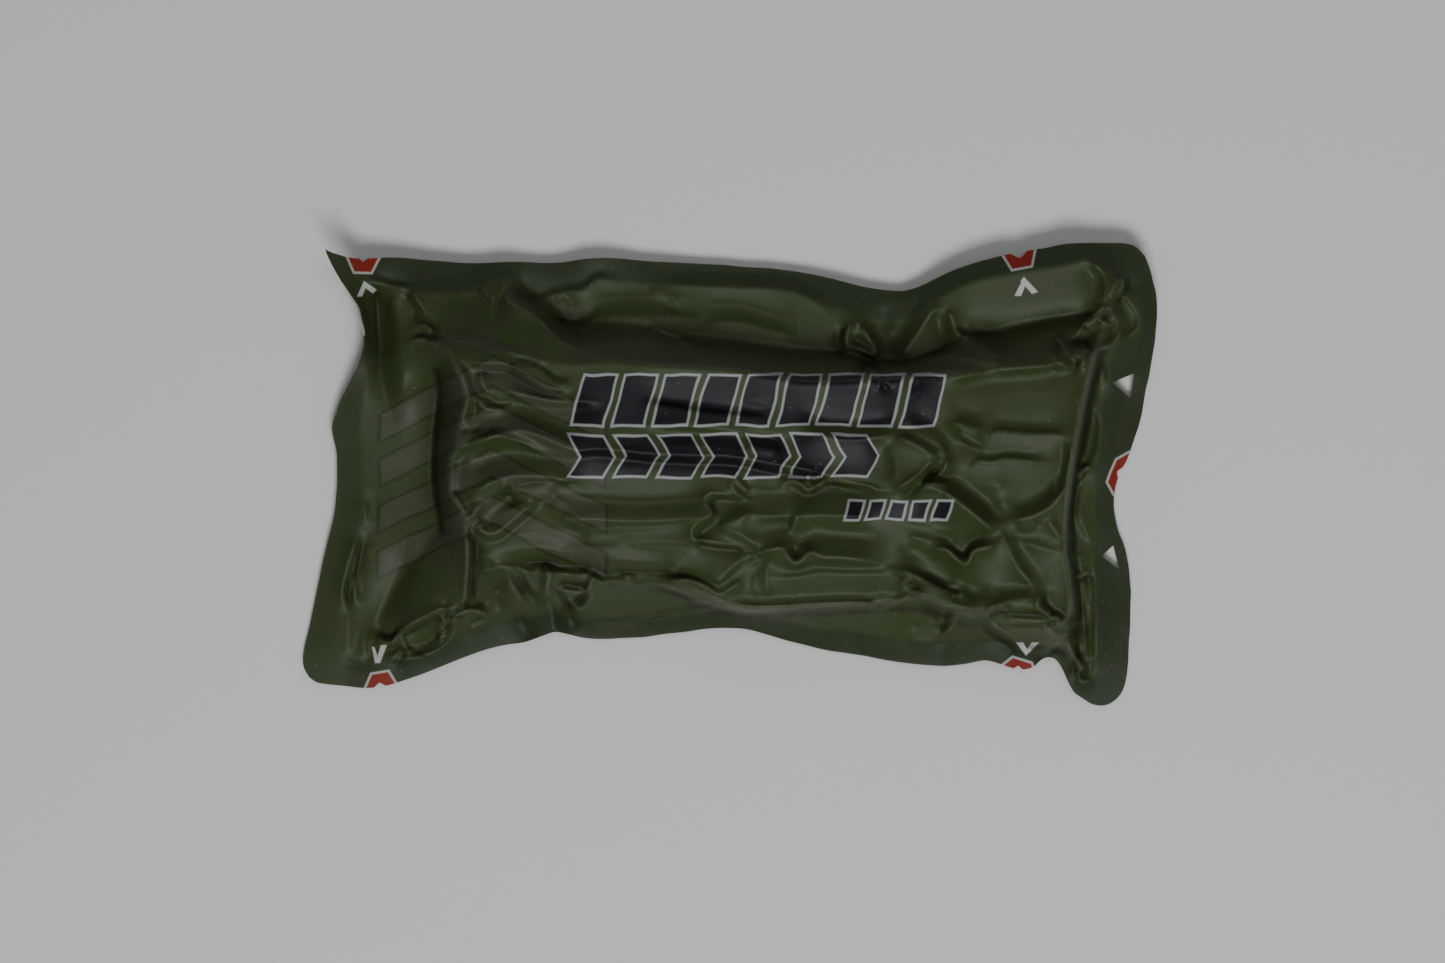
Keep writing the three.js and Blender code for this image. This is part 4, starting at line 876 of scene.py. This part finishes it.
def film(name, printed):
    g = Graph(name)
    place = g.node("ShaderNodeTexCoord").outputs["Object"]
    weld, crease, reverse = g.attribute("weld"), g.attribute("crease"), g.attribute("reverse")
    # crest: where the film bends outward; used below for painted highlight
    crest = g.ramp(crease, 0.4, 1.0)
    # hollow: where the film bends inward; used below for painted shade
    hollow = g.ramp(crease, -0.15, -1.0)
    cloud = g.noise(place, 28.0, 3.0, 0.55, 0.6)
    grain = g.noise(place, 900.0, 2.0, 0.6)
    # the border at the far left is rubbed paler
    pale = g.ramp(g.node("ShaderNodeSeparateXYZ", place).outputs[0], -0.124, -0.108, 0.15, 0.68)
    colour = g.mix(cloud, (0.0335, 0.0485, 0.0160), (0.0465, 0.0650, 0.0230))
    colour = g.mix(g.math("MULTIPLY", grain, 0.22), colour, (0.05, 0.06, 0.03))
    colour = g.mix(g.math("MULTIPLY", weld, pale), colour, (0.0255, 0.035, 0.0185))
    # painted highlight along the sharp crests, broken up by noise; it also stands for the film whitened where it is
    # creased
    crest_highlight_and_wear = g.ramp(g.noise(place, 160.0, 3.0, 0.6), 0.36, 0.66, 0.04, 0.34)
    colour = g.mix(g.math("MULTIPLY", crest, crest_highlight_and_wear), colour, (0.12, 0.14, 0.09))
    if printed:
        # places on the chart, a little pushed about as ink on soft film is
        uv = g.node("ShaderNodeUVMap", uv_map="print").outputs[0]
        flat = g.node("ShaderNodeVectorMath", uv, (1445.0, -963.0, 0.0), (0.0, 963.0, 1.0), operation="MULTIPLY_ADD").outputs[0]
        push = g.tree.nodes.new("ShaderNodeTexNoise")
        g.put(push.inputs["Vector"], place)
        push.inputs["Scale"].default_value = 75.0
        push.inputs["Detail"].default_value = 1.0
        pushed = g.node("ShaderNodeVectorMath", g.node("ShaderNodeVectorMath", push.outputs["Color"], (0.5, 0.5, 0.5), operation="SUBTRACT").outputs[0], (9.0, 9.0, 0.0), flat, operation="MULTIPLY_ADD").outputs[0]
        parts = g.node("ShaderNodeSeparateXYZ", pushed)
        x, y = parts.outputs[0], parts.outputs[1]

        def bars(x0, y0, pitch, count, half_wide, half_high, slant, bent):
            """A row of count slanted bars, or of arrowheads where it is bent."""
            up = g.math("SUBTRACT", y, y0)
            lean = g.math("ABSOLUTE", up) if bent else up
            run = g.math("MULTIPLY_ADD", lean, slant, g.math("SUBTRACT", x, x0))
            cell = g.math("FRACT", g.math("DIVIDE", run, pitch))
            across = g.math("SUBTRACT", half_wide, g.math("ABSOLUTE", g.math("MULTIPLY", g.math("SUBTRACT", cell, 0.5), pitch)))
            high = g.math("SUBTRACT", half_high, g.math("ABSOLUTE", up))
            return g.smallest(across, high, g.math("SUBTRACT", run, 3.0), g.math("SUBTRACT", pitch * count - 3.0, run))

        # tone on tone: stacked roofs
        side = g.math("ABSOLUTE", g.math("SUBTRACT", x, 492.0))
        roof = g.math("MULTIPLY_ADD", side, -0.5, g.math("SUBTRACT", y, 440.0))
        step = g.math("MULTIPLY", g.math("SUBTRACT", g.math("FRACT", g.math("DIVIDE", roof, 46.0)), 0.5), 46.0)
        roofs = g.smallest(g.math("SUBTRACT", 12.0, g.math("ABSOLUTE", step)), g.math("SUBTRACT", 112.0, side), g.math("SUBTRACT", 92.0, g.math("ABSOLUTE", roof)))
        colour = g.mix(g.math("MULTIPLY", g.cover(g.math("ADD", roofs, 3.5), 1.0), 0.5), colour, (0.016, 0.022, 0.008))
        colour = g.mix(g.math("MULTIPLY", g.cover(roofs, 1.0), 0.6), colour, (0.072, 0.084, 0.05))
        # crisp print
        rows = g.largest(
            bars(574.0, 400.0, 41.0, 9, 15.0, 24.0, 0.28, False),
            bars(576.0, 456.0, 44.0, 7, 15.5, 20.0, 0.55, True),
            bars(842.0, 510.0, 22.0, 5, 6.5, 8.0, 0.28, False),
        )
        colour = g.mix(g.cover(g.math("ADD", rows, 2.6)), colour, (0.33, 0.345, 0.35))
        colour = g.mix(g.cover(rows), colour, (0.010, 0.009, 0.0125))
        red = g.largest(*[g.polygon(flat, points) for points in RED_MARKS])
        colour = g.mix(g.cover(g.math("ADD", red, 2.3)), colour, (0.42, 0.42, 0.40))
        colour = g.mix(g.cover(red), colour, (0.23, 0.021, 0.012))
        arrows = g.largest(*[g.polygon(flat, points) for points in ARROWS])
        colour = g.mix(g.cover(arrows), colour, (0.50, 0.50, 0.48))
    # painted shade darkening the hollows; painted highlight on the crests, which also stands for rubbed creases; then
    # scuffs and dust
    colour = g.mix(g.math("MULTIPLY", hollow, 0.55), colour, (0.008, 0.010, 0.006))
    colour = g.mix(g.math("MULTIPLY", crest, 0.12), colour, (0.12, 0.125, 0.10))
    streaks = g.noise(g.scaled(place, (420.0, 60.0, 60.0)), 1.0, 4.0, 0.65, 1.2)
    patches = g.noise(place, 22.0, 2.0, 0.5)
    scuff = g.math("MULTIPLY", g.ramp(streaks, 0.60, 0.72), g.ramp(patches, 0.52, 0.66))
    colour = g.mix(g.math("MULTIPLY", scuff, 0.28), colour, (0.13, 0.135, 0.11))
    specks = g.ramp(g.noise(place, 1100.0, 0.0), 0.80, 0.86)
    colour = g.mix(g.math("MULTIPLY", specks, 0.35), colour, (0.2, 0.2, 0.18))
    colour = g.mix(reverse, colour, (0.42, 0.43, 0.41))
    g.put(g.shader.inputs["Base Color"], colour)
    rough = g.math("MULTIPLY_ADD", cloud, 0.12, 0.43)
    rough = g.math("MULTIPLY_ADD", weld, 0.06, g.math("MULTIPLY_ADD", scuff, 0.15, rough))
    g.put(g.shader.inputs["Roughness"], rough)
    g.shader.inputs["Specular IOR Level"].default_value = 0.21
    small = g.noise(g.scaled(place, (90.0, 160.0, 120.0)), 1.0, 3.0, 0.55, 0.8)
    bump = g.tree.nodes.new("ShaderNodeBump")
    bump.inputs["Strength"].default_value = 0.5
    bump.inputs["Distance"].default_value = 0.001
    g.put(bump.inputs["Height"], g.math("MULTIPLY_ADD", grain, 0.03, g.math("MULTIPLY", small, 0.16)))
    g.put(g.shader.inputs["Normal"], bump.outputs[0])
    return g.material


def cloth(name):
    g = Graph(name)
    place = g.node("ShaderNodeTexCoord").outputs["Object"]
    bent = g.node("ShaderNodeVectorMath", g.scaled(g.node("ShaderNodeTexNoise", place).outputs["Color"], (0.004, 0.004, 0.0)), place, operation="ADD").outputs[0]
    warp = g.node("ShaderNodeTexWave", wave_type="BANDS", bands_direction="X")
    weft = g.node("ShaderNodeTexWave", wave_type="BANDS", bands_direction="Y")
    for n, scale in ((warp, 260.0), (weft, 190.0)):
        g.put(n.inputs["Vector"], bent)
        n.inputs["Scale"].default_value = scale
    weave = g.math("MULTIPLY", warp.outputs[1], weft.outputs[1])
    fuzz = g.noise(place, 700.0, 4.0, 0.7)
    cloud = g.noise(place, 35.0, 2.0)
    colour = g.mix(weave, (0.045, 0.05, 0.027), (0.095, 0.105, 0.06))
    colour = g.mix(g.math("MULTIPLY", fuzz, 0.4), colour, (0.12, 0.13, 0.08))
    colour = g.mix(g.math("MULTIPLY", cloud, 0.35), colour, (0.06, 0.06, 0.035))
    g.put(g.shader.inputs["Base Color"], colour)
    g.put(g.shader.inputs["Roughness"], g.math("MULTIPLY_ADD", fuzz, 0.12, 0.82))
    g.shader.inputs["Specular IOR Level"].default_value = 0.2
    bump = g.tree.nodes.new("ShaderNodeBump")
    bump.inputs["Strength"].default_value = 0.6
    bump.inputs["Distance"].default_value = 0.0004
    g.put(bump.inputs["Height"], g.math("MULTIPLY_ADD", fuzz, 0.4, weave))
    g.put(g.shader.inputs["Normal"], bump.outputs[0])
    return g.material


for obj, node, slot, finish in (
    (front, "pouch_front", "film_front", film("film_front", True)),
    (back, "pouch_back", "film_back", film("film_back", False)),
    (core, "folded_bandage", "bandage", cloth("bandage")),
):
    obj.data.materials.append(finish)
    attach(obj, "root")
    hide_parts(node)

# ------------------------------------------------------------------ floor, lights, camera

me = bpy.data.meshes.new("floor")
me.from_pydata([(-3, -3, 0), (3, -3, 0), (3, 3, 0), (-3, 3, 0)], [], [(0, 1, 2, 3)])
floor = bpy.data.objects.new("floor", me)
bpy.context.scene.collection.objects.link(floor)
fm = bpy.data.materials.new("floor_paint")
fm.use_nodes = True
fm.node_tree.nodes["Principled BSDF"].inputs["Base Color"].default_value = (0.8, 0.8, 0.8, 1)
fm.node_tree.nodes["Principled BSDF"].inputs["Roughness"].default_value = 0.9
me.materials.append(fm)


def area(name, loc, target, size, size_y, power, color=(1, 1, 1)):
    d = bpy.data.lights.new(name, "AREA")
    d.shape = "RECTANGLE"
    d.size, d.size_y = size, size_y
    d.energy = power
    d.color = color
    o = bpy.data.objects.new(name, d)
    o.location = loc
    o.rotation_euler = (Vector(target) - Vector(loc)).to_track_quat("-Z", "Y").to_euler()
    bpy.context.scene.collection.objects.link(o)
    return o


area("key", (0.14, -0.88, 1.58), (0, 0, 0), 0.7, 0.55, 19.1)
area("top", (0.1, 0.2, 1.95), (0, 0, 0), 0.9, 0.7, 5.2)
area("east", (1.35, 0.1, 1.15), (0, 0, 0), 0.5, 0.9, 1.0)
area("west", (-1.35, 0.1, 1.15), (0, 0, 0), 0.5, 0.9, 0.6)
area("north", (-0.1, 1.3, 1.3), (0, 0, 0), 0.8, 0.5, 1.5)
world = bpy.data.worlds.new("world")
world.use_nodes = True
world.node_tree.nodes["Background"].inputs[0].default_value = (0.5, 0.5, 0.5, 1)
world.node_tree.nodes["Background"].inputs[1].default_value = 0.10
bpy.context.scene.world = world

cam = bpy.data.cameras.new("camera")
cam.sensor_width = 36
cam.lens = 36 * CAM_D / (1445 / PER_MM)
cam.clip_start, cam.clip_end = 0.05, 20
camera = bpy.data.objects.new("camera", cam)
camera.location = (SHIFT_X * 0.001, SHIFT_Y * 0.001, CAM_D * 0.001)
bpy.context.scene.collection.objects.link(camera)
bpy.context.scene.camera = camera
